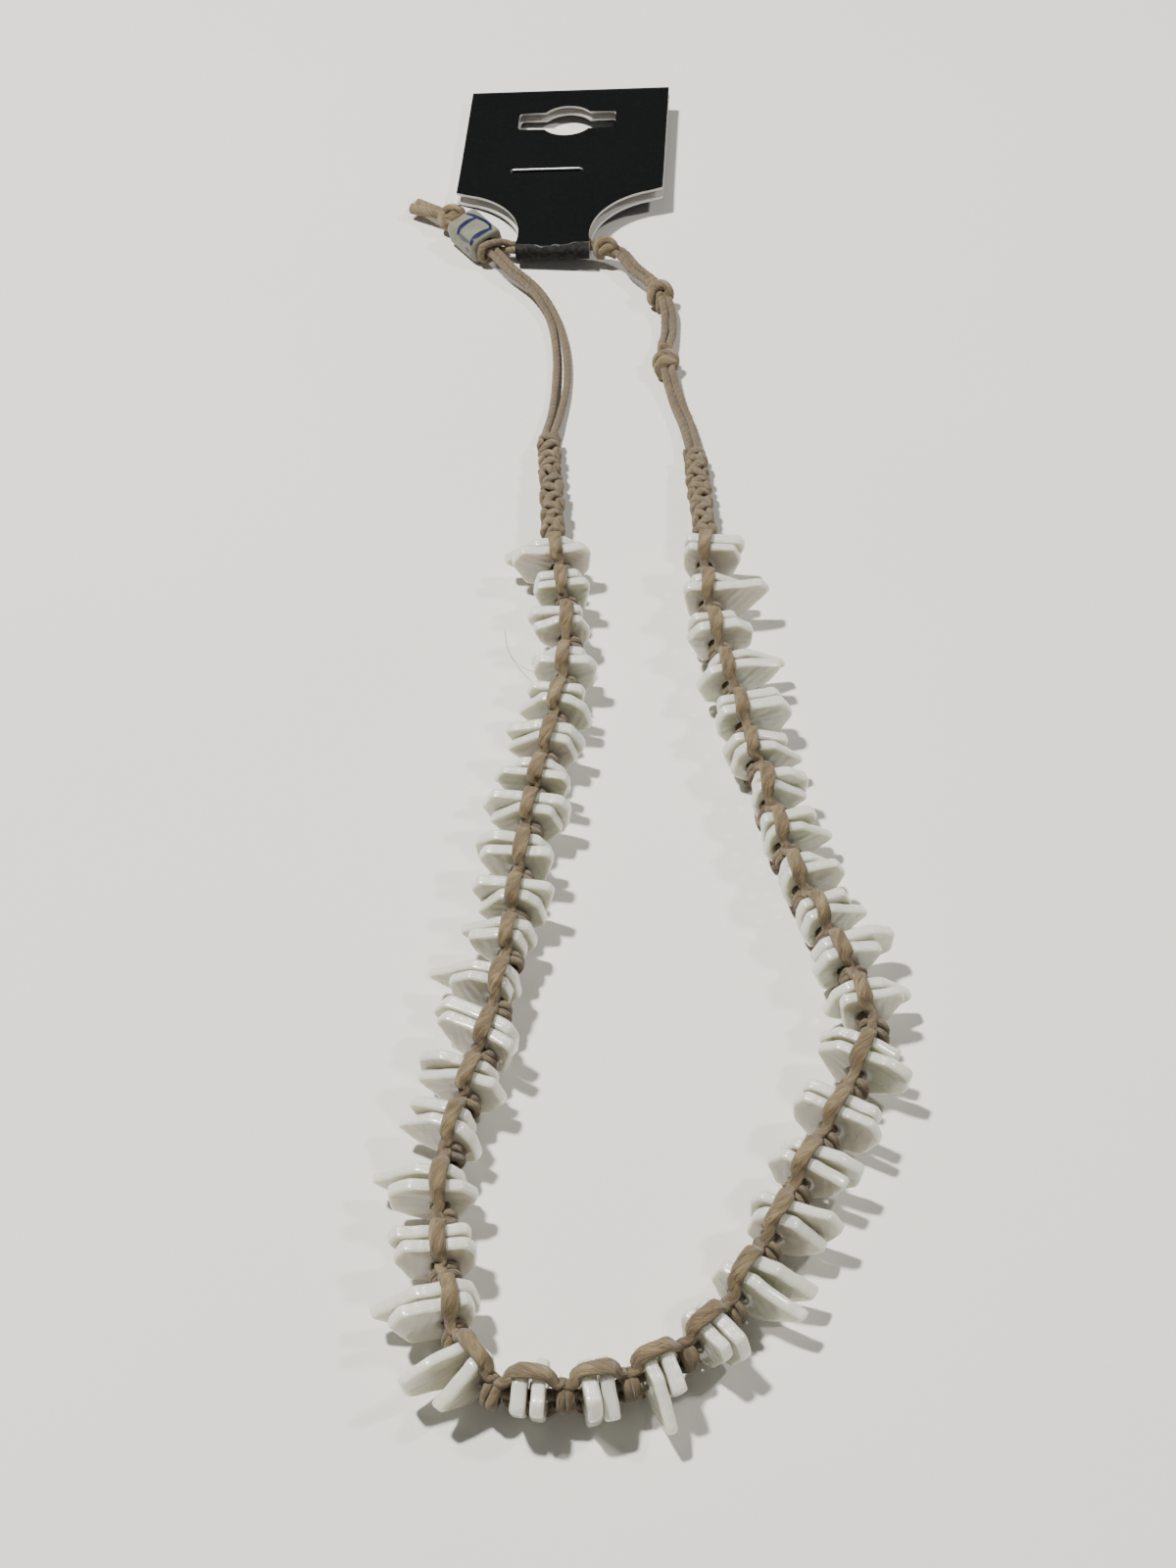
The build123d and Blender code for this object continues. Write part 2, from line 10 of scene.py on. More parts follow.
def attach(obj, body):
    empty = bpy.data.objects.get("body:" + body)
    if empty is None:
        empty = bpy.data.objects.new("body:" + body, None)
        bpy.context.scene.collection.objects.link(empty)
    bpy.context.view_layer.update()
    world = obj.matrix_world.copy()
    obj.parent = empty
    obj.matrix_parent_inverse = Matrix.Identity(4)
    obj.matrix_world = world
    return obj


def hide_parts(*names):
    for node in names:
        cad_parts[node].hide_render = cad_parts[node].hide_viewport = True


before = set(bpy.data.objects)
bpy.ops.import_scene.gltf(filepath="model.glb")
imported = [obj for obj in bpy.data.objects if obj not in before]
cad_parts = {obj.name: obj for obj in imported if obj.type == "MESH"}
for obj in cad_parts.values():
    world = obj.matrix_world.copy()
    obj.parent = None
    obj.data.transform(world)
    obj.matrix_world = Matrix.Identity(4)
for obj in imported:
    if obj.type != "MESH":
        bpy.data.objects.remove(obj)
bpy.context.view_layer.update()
MM = 0.001
UP = np.array((0.0, 0.0, 1.0))
rng = np.random.default_rng(7)

# Numbers repeated from the CAD source, in millimetres
CORE_HEIGHT = 4.02
CHIP_THICKNESS = 1.7
TWINE = 1.2
STRING_ROUTE = [
    (-9.9, 8.4), (-8.2, -6.4), (-7.8, -17.9), (-10.0, -30.9), (-12.6, -44.9), (-14.2, -59.9),
    (-15.2, -72.9), (-18.2, -85.4), (-21.6, -97.9), (-21.6, -110.9), (-17.6, -128.8), (0.2, -126.5),
    (10.0, -118.7), (18.2, -101.9), (25.2, -88.9), (29.6, -78.9), (25.2, -67.9), (20.6, -55.9),
    (18.0, -43.4), (15.8, -29.9), (12.8, -14.9), (11.0, -2.9), (11.9, 9.2),
]
LEFT_TIES = [
    (-11.0, 35.2, 1.9, 0.56, 0), (-10.0, 41.1, 1.2, 0.60, 0), (-9.2, 49.1, 0.8, 0.70, 0),
    (-9.3, 58.1, 0.8, 0.66, 0), (-10.7, 66.6, 1.0, 0.58, 0), (-13.6, 73.2, 1.6, 0.57, 0),
    (-17.8, 78.4, 2.2, 0.57, 0),
]
RIGHT_TIES = [
    (11.0, 31.4, 1.9, 0.58, 0), (10.2, 38.1, 1.3, 0.60, 0), (8.6, 45.1, 1.3, 0.60, 0),
    (7.5, 51.2, 2.2, 0.57, 0), (7.1, 56.6, 2.2, 0.57, 0), (7.9, 62.8, 1.3, 0.66, 0),
    (7.6, 68.8, 2.2, 0.57, 0), (5.7, 73.8, 2.3, 0.57, 0), (2.6, 78.4, 2.2, 0.60, 0),
    (0.2, 82.0, 2.8, 0.58, 0), (-4.4, 83.6, 3.2, 0.57, 0), (-10.6, 83.7, 2.8, 0.57, 0),
    (-16.9, 84.1, 2.3, 0.57, 8),
]
BEAD_LENGTH, BEAD_WIDTH, BEAD_HEIGHT = 7.6, 6.2, 4.8
BEAD_CORNER, BEAD_RIM, BEAD_BORE = 1.5, 0.7, 2.8
BEAD_PLACE, BEAD_BEARING = (-23.7, 87.0, 2.4), -54
BEAD_ROLL, BEAD_LIFT = 12, 0.28
CARD_WIDTH, CARD_HEIGHT, CARD_SHEET, CARD_WAIST = 35.0, 50.0, 0.4, 12.2
CARD_WAIST_LENGTH, CARD_CURVE_LENGTH, CARD_FOLD_HEIGHT, CARD_FOLD_BEND = 2.0, 15.5, 2.8, 0.9
CARD_GAP, STAPLE_FROM_FOLD, SLOT_FROM_FOLD = 1.1, 24.2, 40.1
CARD_PLACE, CARD_TURN, CARD_ROLL = (-10.75, 81.25, 1.4), -3.2, 4.0
SLOT_WIDTH, SLOT_ARM, SLOT_CORNER, SLOT_EYE = 17.0, 5.4, 0.8, 9.4


# Small helpers
def unit(v):
    v = np.asarray(v, float)
    return v / np.maximum(norm(v, axis=-1, keepdims=True), 1e-9)


def run_along(path):
    """Distance of each point of a path from its start."""
    return np.concatenate([[0], np.cumsum(norm(np.diff(path, axis=0), axis=1))])


def between(a, b, t0, t1, x):
    """Value at x on the line from a (at t0) to b (at t1)."""
    return (t1 - x) / (t1 - t0) * a + (x - t0) / (t1 - t0) * b


def spline(points, step=0.4):
    """Smooth curve through chosen points (centripetal), about one sample per step."""
    p = np.asarray(points, float)
    p = np.vstack([2 * p[0] - p[1], p, 2 * p[-1] - p[-2]])
    out = []
    for i in range(1, len(p) - 2):
        q = p[i - 1 : i + 3]
        gaps = norm(np.diff(q[:, :3], axis=0), axis=1)
        t = np.concatenate([[0], np.cumsum(np.sqrt(gaps) + 1e-6)])
        count = max(2, math.ceil(norm(q[2][:3] - q[1][:3]) / step))
        x = np.linspace(t[1], t[2], count, endpoint=False)[:, None]
        a1, a2, a3 = (between(q[k], q[k + 1], t[k], t[k + 1], x) for k in range(3))
        b1, b2 = between(a1, a2, t[0], t[2], x), between(a2, a3, t[1], t[3], x)
        out.append(between(b1, b2, t[1], t[2], x))
    out.append(p[-2][None])
    return np.vstack(out)


def wobble(x, seed, scale):
    """Smooth noise along a line, between about -1 and 1."""
    r = np.random.default_rng(seed)
    total = np.zeros_like(x)
    for k in range(1, 5):
        height, pace, phase = r.uniform(0.4, 1), r.uniform(0.7, 1.3), r.uniform(0, 6.3)
        total += height * np.sin(x / scale * k * pace + phase) / k
    return total / 1.6


def add_object(name, data, place=(0, 0, 0)):
    piece = bpy.data.objects.new(name, data)
    piece.location = place
    bpy.context.scene.collection.objects.link(piece)
    return piece


class Shape:
    """Collects vertices (mm, none below the floor), faces and attributes for one mesh."""

    def __init__(self):
        self.verts, self.faces, self.attributes, self.count = [], [], {}, 0

    def add(self, verts, faces, **attributes):
        verts[:, 2] = np.maximum(verts[:, 2], 0.0)
        self.verts.append(verts)
        self.faces += [tuple(int(i) + self.count for i in f) for f in faces]
        for name, values in attributes.items():
            self.attributes.setdefault(name, []).append(np.asarray(values, float))
        self.count += len(verts)

    def make(self, name, material, nodes):
        mesh = bpy.data.meshes.new(name)
        mesh.from_pydata((np.vstack(self.verts) * MM).tolist(), [], self.faces)
        for key, parts in self.attributes.items():
            values = np.concatenate(parts)
            kind, field = ("FLOAT", "value") if values.ndim == 1 else ("FLOAT_VECTOR", "vector")
            mesh.attributes.new(key, kind, "POINT").data.foreach_set(field, values.ravel())
        mesh.validate()
        mesh.polygons.foreach_set("use_smooth", [True] * len(mesh.polygons))
        piece = add_object(name, mesh)
        mesh.materials.append(material)
        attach(piece, "root")
        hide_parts(*nodes)
        return piece

    def make_hemp(self, node, name=None):
        self.make(name or node + "_hemp", hemp, [node])


def grid_faces(rows, columns, looped=False):
    """Quads between the rings of a grid; looped joins the last ring to the first."""
    faces = []
    for i in range(rows if looped else rows - 1):
        a, b = i * columns, (i + 1) % rows * columns
        for j in range(columns):
            k = (j + 1) % columns
            faces.append((a + j, a + k, b + k, b + j))
    return faces


PLY_DEPTH, RIPPLE_DEPTH = 0.16, 0.03
FIBRE_STRETCH = 0.22
FUZZ_RADIUS = 0.032
HAIR_TIP, HAIR_SHADE = 0.45, -0.2


def strand(shape, path, thick_way, width, thickness, around, plies=2, pitch=2.4, flat=1, dark=0):
    """Sweeps a fibrous strand along a path; plies twist round it as grooves."""
    n = len(path)
    tangent = unit(np.gradient(path, axis=0))
    thick = unit(thick_way - (thick_way * tangent).sum(1, keepdims=True) * tangent)
    side = np.cross(tangent, thick)
    run = run_along(path)[:, None]
    angle = np.linspace(0, 2 * pi, around, endpoint=False)[None, :]
    turned = angle + run / pitch * 2 * pi
    ply = np.abs(np.cos(turned * plies / 2)) if plies else np.ones_like(turned)
    scale = 1 - PLY_DEPTH * (1 - ply) if plies else 1 + RIPPLE_DEPTH * np.sin(5 * turned)
    c, s = (np.sign(w) * np.abs(w) ** flat for w in (np.cos(angle), np.sin(angle)))
    half_width, half_thick = (np.broadcast_to(v, n)[:, None] / 2 for v in (width, thickness))
    verts = (
        path[:, None]
        + side[:, None] * (c * scale * half_width)[..., None]
        + thick[:, None] * (s * scale * half_thick)[..., None]
    ).reshape(-1, 3)
    along = np.broadcast_to(run * FIBRE_STRETCH + rng.uniform(0, 50), turned.shape)
    fibre = np.stack([along, np.cos(turned), np.sin(turned)], -1).reshape(-1, 3)
    faces = grid_faces(n, around)
    faces += [tuple(range(around))[::-1], tuple(range((n - 1) * around, n * around))]
    shade = np.broadcast_to(np.reshape(dark, (-1, 1)), turned.shape)
    # groove: how far down a ply groove each point lies, for the painted shade in the hemp.
    shape.add(verts, faces, fibre=fibre, groove=(1 - ply).ravel(), shade=shade.ravel())


def add_hair(shape, keys, radius):
    """One loose fibre through its key points, thinner towards its tip."""
    path = spline(keys, 0.45)
    tangent = unit(np.gradient(path, axis=0))
    side = unit(np.cross(tangent, (0.31, 0.17, 0.94)))
    over = np.cross(tangent, side)
    size = radius * np.linspace(1.0, HAIR_TIP, len(path))[:, None]
    ring = [side * cos(a) * size + over * sin(a) * size for a in (0, 2.094, 4.189)]
    verts = np.stack([path + r for r in ring], 1).reshape(-1, 3)
    total = len(verts)
    faces = grid_faces(len(path), 3) + [(2, 1, 0), (total - 3, total - 2, total - 1)]
    fibre = np.repeat(np.linspace(0, 0.4, len(path)) + rng.uniform(0, 50), 3)
    zero = np.zeros(total)
    fibre = np.stack([fibre, zero, zero], 1)
    shape.add(verts, faces, fibre=fibre, groove=zero, shade=zero + HAIR_SHADE)


def add_fuzz(shape, path, radius, count, length=1.0):
    """Loose fibres that stand off a strand, more or less along it."""
    tangent = unit(np.gradient(path, axis=0))
    for i in rng.integers(1, len(path) - 1, count):
        t = tangent[i] * rng.choice((-1, 1))
        out = unit(np.cross(t, rng.normal(size=3)))
        out[2] = abs(out[2])
        reach = length * rng.uniform(0.6, 1.7)
        bend = out * rng.uniform(0.1, 0.55) + np.cross(t, out) * rng.uniform(-0.35, 0.35)
        start = path[i] + out * radius * 0.8
        middle = start + t * reach * 0.5 + bend * reach * 0.35
        tip = start + t * reach * 0.9 + bend * reach
        tip[2] = max(tip[2], 0.05)
        add_hair(shape, np.stack([start, middle, tip]), FUZZ_RADIUS)


def carried(path, start):
    """Directions carried along a path without turning round it."""
    tangent = unit(np.gradient(path, axis=0))
    way = unit(start - np.dot(start, tangent[0]) * tangent[0])
    out = [way]
    for t in tangent[1:]:
        way = unit(way - np.dot(way, t) * t)
        out.append(way)
    return np.array(out)


def islands(node):
    """Vertices (mm) and facing of each loose solid of a CAD node."""
    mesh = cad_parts[node].data
    verts = np.array([vertex.co for vertex in mesh.vertices]) / MM
    merged = np.unique(np.round(verts, 3), axis=0, return_inverse=True)[1].ravel()
    solid, before = np.arange(merged.max() + 1), None
    polygons = [(merged[list(p.vertices)], p.area, np.array(p.normal)) for p in mesh.polygons]
    while not np.array_equal(before, solid):
        before = solid.copy()
        for ids, _, _ in polygons:
            solid[ids] = solid[ids].min()
    facing = dict.fromkeys(np.unique(solid), 0)
    for ids, area, n in polygons:
        facing[solid[ids[0]]] = facing[solid[ids[0]]] + area * np.outer(n, n)
    return [(verts[solid[merged] == key], way) for key, way in facing.items()]


# Materials
def grey(level):
    return (level,) * 3


class Nodes:
    """A short way to write node materials."""

    def __init__(self, name):
        self.material = bpy.data.materials.new(name)
        self.material.use_nodes = True
        self.tree = self.material.node_tree
        self.shader = self.tree.nodes["Principled BSDF"]

    def add(self, kind, inputs=(), **settings):
        node = self.tree.nodes.new("ShaderNode" + kind)
        for key, value in settings.items():
            setattr(node, key, value)
        for key, value in dict(inputs).items():
            self.plug(value, node.inputs[key])
        return node

    def plug(self, value, socket):
        if isinstance(value, bpy.types.NodeSocket):
            self.tree.links.new(value, socket)
        else:
            socket.default_value = (*value, 1) if socket.type == "RGBA" else value

    def attribute(self, name, output="Fac"):
        return self.add("Attribute", attribute_name=name).outputs[output]

    def place(self):
        return self.add("TexCoord").outputs["Object"]

    def noise(self, vector, scale, detail=3.0, roughness=0.5):
        inputs = {"Vector": vector, "Scale": scale, "Detail": detail, "Roughness": roughness}
        return self.add("TexNoise", inputs).outputs["Fac"]

    def wave(self, vector, scale, distortion, detail_scale, way):
        inputs = {"Vector": vector, "Scale": scale, "Distortion": distortion, "Detail": 2.0,
                  "Detail Scale": detail_scale}
        return self.add("TexWave", inputs, bands_direction=way).outputs["Fac"]

    def math(self, operation, a, b):
        return self.add("Math", {0: a, 1: b}, operation=operation).outputs[0]

    def plus(self, a, b):
        return self.math("ADD", a, b)

    def times(self, a, b):
        return self.math("MULTIPLY", a, b)

    def ramp(self, fac, *stops):
        node = self.add("ValToRGB", {"Fac": fac})
        elements = node.color_ramp.elements
        while len(elements) < len(stops):
            elements.new(0.5)
        for element, (position, colour) in zip(elements, stops):
            element.position = position
            element.color = (*colour, 1)
        return node.outputs["Color"]

    def mix(self, fac, a, b, blend="MIX"):
        node = self.add("Mix", data_type="RGBA", blend_type=blend)
        for value, key in ((fac, "Factor"), (a, "A"), (b, "B")):
            self.plug(value, node.inputs[key])
        return node.outputs["Result"]

    def bump(self, height, strength, distance):
        inputs = {"Height": height, "Strength": strength, "Distance": distance}
        return self.add("Bump", inputs).outputs["Normal"]

    def finish(self, **inputs):
        for key, value in inputs.items():
            self.plug(value, self.shader.inputs[key.replace("_", " ")])
        return self.material


def hemp_material():
    m = Nodes("hemp_fibre")
    light, dark = (0.31, 0.24, 0.132), (0.075, 0.05, 0.022)
    middling = tuple(0.55 * a + 0.45 * b for a, b in zip(light, dark))
    pale = tuple(1.22 * a for a in light)
    fibre = m.attribute("fibre", "Vector")
    streaks = m.noise(fibre, 1.6, 5.0, 0.7)
    fine = m.noise(fibre, 6.0, 3.0, 0.6)
    patches = m.noise(m.place(), 260.0, 2.0)
    colour = m.ramp(streaks, (0.28, dark), (0.47, middling), (0.62, light), (0.8, pale))
    colour = m.mix(m.times(fine, 0.2), colour, light)
    tint = m.ramp(patches, (0.3, (0.78, 0.74, 0.66)), (0.7, (1.1, 1.06, 1.0)))
    colour = m.mix(0.8, colour, tint, "MULTIPLY")
    # Painted shade: darker down in the grooves between the plies.
    groove = m.math("POWER", m.attribute("groove"), 1.6)
    colour = m.mix(m.times(groove, 0.75), colour, (0.13, 0.085, 0.045))
    colour = m.mix(m.times(m.attribute("shade"), 0.8), colour, (0.09, 0.058, 0.03))
    normal = m.bump(m.plus(streaks, m.times(fine, 0.5)), 1.0, 0.0006)
    return m.finish(Base_Color=colour, Roughness=0.78, Normal=normal, Specular_IOR_Level=0.3,
                    Sheen_Weight=0.25, Sheen_Roughness=0.5)


def shell_material():
    m = Nodes("shell_polished")
    own, rim = m.attribute("own"), m.attribute("rim")
    # Each chip reads its pattern at a place of its own
    inputs = {0: m.attribute("local", "Vector"), 1: grey(0.16), 2: m.times(own, 37.0)}
    place = m.add("VectorMath", inputs, operation="MULTIPLY_ADD").outputs[0]
    clouds = m.noise(place, 2.2, 3.0, 0.5)
    veins = m.wave(place, 1.7, 3.0, 0.8, "Y")
    layers = m.wave(place, 6.5, 2.5, 2.0, "Z")
    body = m.ramp(own, (0.0, (0.56, 0.575, 0.49)), (0.22, (0.46, 0.465, 0.37)),
                  (0.4, (0.60, 0.61, 0.54)), (0.55, (0.44, 0.44, 0.345)),
                  (0.72, (0.54, 0.53, 0.46)), (0.86, (0.50, 0.455, 0.385)),
                  (1.0, (0.63, 0.64, 0.57)))
    cloudy = m.ramp(clouds, (0.38, grey(0)), (0.7, grey(0.5)))
    body = m.mix(cloudy, body, (0.37, 0.37, 0.29))
    body = m.mix(m.times(veins, 0.12), body, (0.50, 0.50, 0.40))
    body = m.mix(m.times(m.times(layers, rim), 0.18), body, (0.55, 0.5, 0.44))
    # Painted highlight: the rounded rim is made lighter than the faces, standing in for the light
    # it catches.
    body = m.mix(m.times(rim, 0.55), body, (0.88, 0.89, 0.79))
    grain = m.plus(m.times(veins, 0.25), m.times(layers, m.times(rim, 0.3)))
    normal = m.bump(m.plus(grain, clouds), 0.5, 0.0003)
    rough = m.ramp(clouds, (0.3, grey(0.20)), (0.75, grey(0.32)))
    return m.finish(Base_Color=body, Roughness=rough, Normal=normal, Subsurface_Weight=0.7,
                    Subsurface_Radius=(1.0, 0.95, 0.7), Subsurface_Scale=0.003, Coat_Weight=0.8,
                    Coat_Roughness=0.16, Specular_IOR_Level=0.6)


def glaze_material():
    m = Nodes("bead_glaze")
    clouds = m.noise(m.place(), 420.0, 4.0)
    specks = m.noise(m.place(), 2600.0, 2.0)
    body = m.ramp(clouds, (0.3, (0.145, 0.152, 0.116)), (0.7, (0.21, 0.214, 0.162)))
    speckled = m.ramp(specks, (0.66, grey(0)), (0.74, grey(0.5)))
    body = m.mix(speckled, body, (0.13, 0.125, 0.098))
    ink = m.times(m.attribute("ink"), m.plus(0.82, m.times(specks, 0.35)))
    body = m.mix(ink, body, (0.006, 0.011, 0.052))
    normal = m.bump(m.plus(clouds, m.times(specks, 0.15)), 0.35, 0.0004)
    return m.finish(Base_Color=body, Roughness=0.42, Normal=normal, Coat_Weight=0.1,
                    Coat_Roughness=0.15, Specular_IOR_Level=0.22, Subsurface_Weight=0.1,
                    Subsurface_Scale=0.001)


def card_material(name, base, rough, fleck, wear=None):
    m = Nodes(name)
    fibres = m.noise(m.place(), 1500.0, 4.0, 0.6)
    broad = m.noise(m.place(), 90.0, 2.0)
    colour = m.mix(m.ramp(fibres, (0.45, grey(0)), (0.8, grey(0.6))), base, fleck)
    colour = m.mix(m.times(broad, 0.25), colour, fleck)
    # A lighter line along the fold's crease, and a painted sheen over the fold's face.
    if wear:
        fibre_breakup = m.ramp(fibres, (0.35, grey(0.35)), (0.6, grey(1)))
        colour = m.mix(m.times(m.attribute("wear"), fibre_breakup), colour, wear)
    normal = m.bump(fibres, 0.25, 0.0001)
    return m.finish(Base_Color=colour, Roughness=rough, Normal=normal, Specular_IOR_Level=0.04)


def wire_material():
    m = Nodes("staple_wire")
    inputs = {"Vector": m.place(), "Scale": (60.0, 4000.0, 4000.0)}
    drawn = m.noise(m.add("Mapping", inputs).outputs[0], 1.0, 4.0)
    spots = m.noise(m.place(), 900.0, 3.0)
    colour = m.ramp(spots, (0.3, (0.42, 0.42, 0.43)), (0.7, grey(0.80)))
    rough = m.ramp(drawn, (0.3, grey(0.22)), (0.7, grey(0.45)))
    normal = m.bump(drawn, 0.2, 0.00005)
    return m.finish(Base_Color=colour, Metallic=1.0, Roughness=rough, Normal=normal)


hemp = hemp_material()
shell = shell_material()
glaze = glaze_material()
wire = wire_material()
card_front = card_material("card_black", (0.0038, 0.0042, 0.0045), 0.8, (0.008, 0.0085, 0.009),
                           wear=(0.20, 0.20, 0.19))
card_white = card_material("card_white", (0.62, 0.61, 0.59), 0.85, (0.50, 0.49, 0.46))


# Chips: each CAD chip's place and outline, rounded and slightly cupped
HOLE_RADIUS = 1.0
HOLE_DEPTH = 0.55  # a CAD chip's corners deeper inside its outline are its hole's
CHIP_BAND = 0.46  # width of the rounded rim
CHIP_SWELL, CHIP_UNEVEN = 0.06, 0.09
HOLE_SINK = 0.22  # of half the thickness
FACE_STEPS = (0.0, 0.08, 0.3, 0.55, 0.8, 1.0)
CHIP_SEED, CUP_SEED = 100, 900


def nearest(line, points):
    """Nearest places of a line to points, from above, and how far along they lie."""
    run = np.diff(line, axis=0)
    t = np.clip(((points[:, None] - line[:-1]) * run).sum(-1) / (run * run).sum(-1), 0, 1)
    near = line[:-1] + run * t[..., None]
    pick = norm((points[:, None] - near)[..., :2], axis=-1).argmin(1)
    along = run_along(line)[:-1] + t * norm(run, axis=1)
    every = np.arange(len(points))
    return near[every, pick], along[every, pick]


def hull(points):
    """Convex outline of flat points, anticlockwise."""
    points = sorted(map(tuple, np.round(points, 4)))

    def turns_left(a, b, c):
        return (b[0] - a[0]) * (c[1] - a[1]) - (b[1] - a[1]) * (c[0] - a[0]) > 0

    def half(seq):
        out = []
        for p in seq:
            while len(out) > 1 and not turns_left(*out[-2:], p):
                out.pop()
            out.append(p)
        return out[:-1]

    return np.array(half(points) + half(points[::-1]))


def read_chips(node):
    """Centre, facing and outline of each CAD chip of a node, in order along the string."""
    found = []
    for verts, facing in islands(node):
        normal = np.linalg.eigh(facing)[1][:, -1]
        normal[2] = 0
        normal = unit(normal)
        side = np.cross(normal, UP)
        middle = (verts @ normal).min() / 2 + (verts @ normal).max() / 2
        flat = np.stack([verts @ side, verts[:, 2]], 1)
        outline = hull(flat)
        edge = np.roll(outline, -1, 0) - outline
        inward = unit(np.stack([-edge[:, 1], edge[:, 0]], 1))
        depth = ((flat[:, None] - outline) * inward).sum(-1).min(1)
        hole = flat[depth > HOLE_DEPTH]
        hole = (hole.min(0) + hole.max(0)) / 2
        centre = normal * middle + side * hole[0] + UP * hole[1]
        found.append({"centre": centre, "normal": normal, "outline": outline - hole})
    route = np.array(STRING_ROUTE)
    found.sort(key=lambda chip: nearest(route, chip["centre"][None, :2])[1][0])
    return found


def round_outline(outline, seed, count=64, corner=0.3, window=30):
    """The outline with rounded, slightly uneven corners, sampled evenly."""
    closed = np.vstack([outline, outline[:1]])
    run = run_along(closed)
    fine = 4 * count
    at = np.linspace(0, run[-1], fine, endpoint=False)
    points = np.stack([np.interp(at, run, closed[:, k]) for k in (0, 1)], 1)
    width = corner / (run[-1] / fine)
    kernel = np.exp(-0.5 * (np.arange(-window, window + 1) / width) ** 2)
    kernel /= kernel.sum()
    points = np.vstack([points[-window:], points, points[:window]])
    smooth = np.stack([np.convolve(points[:, k], kernel, "valid") for k in (0, 1)], 1)
    phase = np.linspace(0, 2 * pi, fine, endpoint=False)
    r = np.random.default_rng(seed)
    uneven = sum(
        r.uniform(-1, 1) * np.sin(k * phase + r.uniform(0, 6.3)) / k for k in (3, 4, 5, 7, 9, 12)
    )
    ahead = np.roll(smooth, -2, 0) - np.roll(smooth, 2, 0)
    out = unit(np.stack([ahead[:, 1], -ahead[:, 0]], 1))
    smooth = smooth + out * (CHIP_SWELL + CHIP_UNEVEN * uneven)[:, None]
    return smooth[:: fine // count]


def add_chip(shape, chip, forward, seed, cup):
    """A chip as rings from its hole over one face, round its rim and back to the hole."""
    r = np.random.default_rng(seed)
    normal, outline = chip["normal"], chip["outline"]
    if np.dot(normal, forward) <= 0:
        normal, outline = -normal, outline[::-1] * (-1, 1)
    side = np.cross(normal, UP)
    rim = round_outline(outline, seed)
    bearing = np.arctan2(rim[:, 1], rim[:, 0])
    hole = HOLE_RADIUS * np.stack([np.cos(bearing), np.sin(bearing)], 1)
    half = CHIP_THICKNESS / 2 * r.uniform(0.88, 1.0)
    taper = r.uniform(-0.12, 0.12, 2)
    inward = unit(rim - hole) * CHIP_BAND
    inset = rim - inward
    # Each ring: points in the chip's plane, height, and 0 at the hole to 2 at the rim
    face = [(hole + (inset - hole) * t, half - HOLE_SINK * half * (t == 0), t) for t in FACE_STEPS]
    rings = list(face)
    for a in np.radians(range(18, 163, 18)):
        height = half * math.copysign(abs(cos(a)) ** 0.62, cos(a))
        rings.append((rim - inward * (1 - sin(a) ** 0.9), height, 1.0 + sin(a)))
    rings += [(flat, -height, t) for flat, height, t in face[::-1]]
    wave_a, wave_b = r.uniform(0, 6.3, 2)
    flat, height, t = (np.array(values) for values in zip(*rings))
    a, b, height, t = flat[..., 0], flat[..., 1], height[:, None], t[:, None]
    thin = 1 + taper[0] * a / 5 + taper[1] * b / 4
    dent = 0.05 * np.sin(a * 1.7 + wave_a) * np.sin(b * 1.9 + wave_b) * np.minimum(t, 1)
    along = height * thin + dent + cup * (a * a - 4) / 22 * (np.hypot(a, b) > 1.05)
    x, y, z = (v.reshape(-1, 1) for v in (a, b, along))
    verts = chip["centre"] + x * side + y * UP + z * normal
    # rim: 0 over the faces, rising round the rim; the shell paints its layers and a painted
    # highlight from it.
    edge = np.broadcast_to(np.maximum(t - 1, 0) ** 0.7, a.shape).ravel()
    spin = r.uniform(0, 6.3)
    local = np.hstack([x * cos(spin) - y * sin(spin), x * sin(spin) + y * cos(spin), z])
    own = np.full(len(verts), r.uniform())
    faces = grid_faces(len(rings), len(rim), looped=True)
    shape.add(verts, faces, local=local, own=own, rim=edge)


left_chips, right_chips = read_chips("shells_left"), read_chips("shells_right")
all_chips = left_chips + right_chips
pairs = list(zip(all_chips[::2], all_chips[1::2]))
forwards = [unit(b["centre"] - a["centre"]) for a, b in pairs]
middles = np.array([(a["centre"] + b["centre"]) / 2 for a, b in pairs])
rooms = [norm(b["centre"] - a["centre"]) / 2 + CHIP_THICKNESS / 2 for a, b in pairs]
for name, chips, first in (("left", left_chips, 0), ("right", right_chips, len(left_chips))):
    shape = Shape()
    for k, chip in enumerate(chips, first):
        cup = np.random.default_rng(CUP_SEED + k // 2).uniform(-0.3, 0.3)
        add_chip(shape, chip, forwards[k // 2], CHIP_SEED + k, cup)
    shape.make(f"shells_{name}_chips", shell, ["shells_" + name])

# Knots' places: each pair's middle is midway between two knots, on the pair's own line
count = len(pairs)
rows, values = [], []


def ask(first, weights, value):
    """One row of the least squares, with its weights from first on."""
    row = np.zeros(2 * (count + 1))
    row[first : first + len(weights)] = weights
    rows.append(row)
    values.append(value)


for i, f in enumerate(forwards):
    for axis in (0, 1):
        ask(2 * i + axis, (0.5, 0, 0.5), middles[i][axis])
    ask(2 * i, 0.2 * np.array((f[1], -f[0], -f[1], f[0])), 0.0)
for i, end in ((0, STRING_ROUTE[0]), (count, STRING_ROUTE[-1])):
    for axis in (0, 1):
        ask(2 * i + axis, (1,), end[axis])
knots = np.linalg.lstsq(np.array(rows), np.array(values), rcond=None)[0].reshape(-1, 2)
knots = np.hstack([knots, np.full((count + 1, 1), CORE_HEIGHT)])


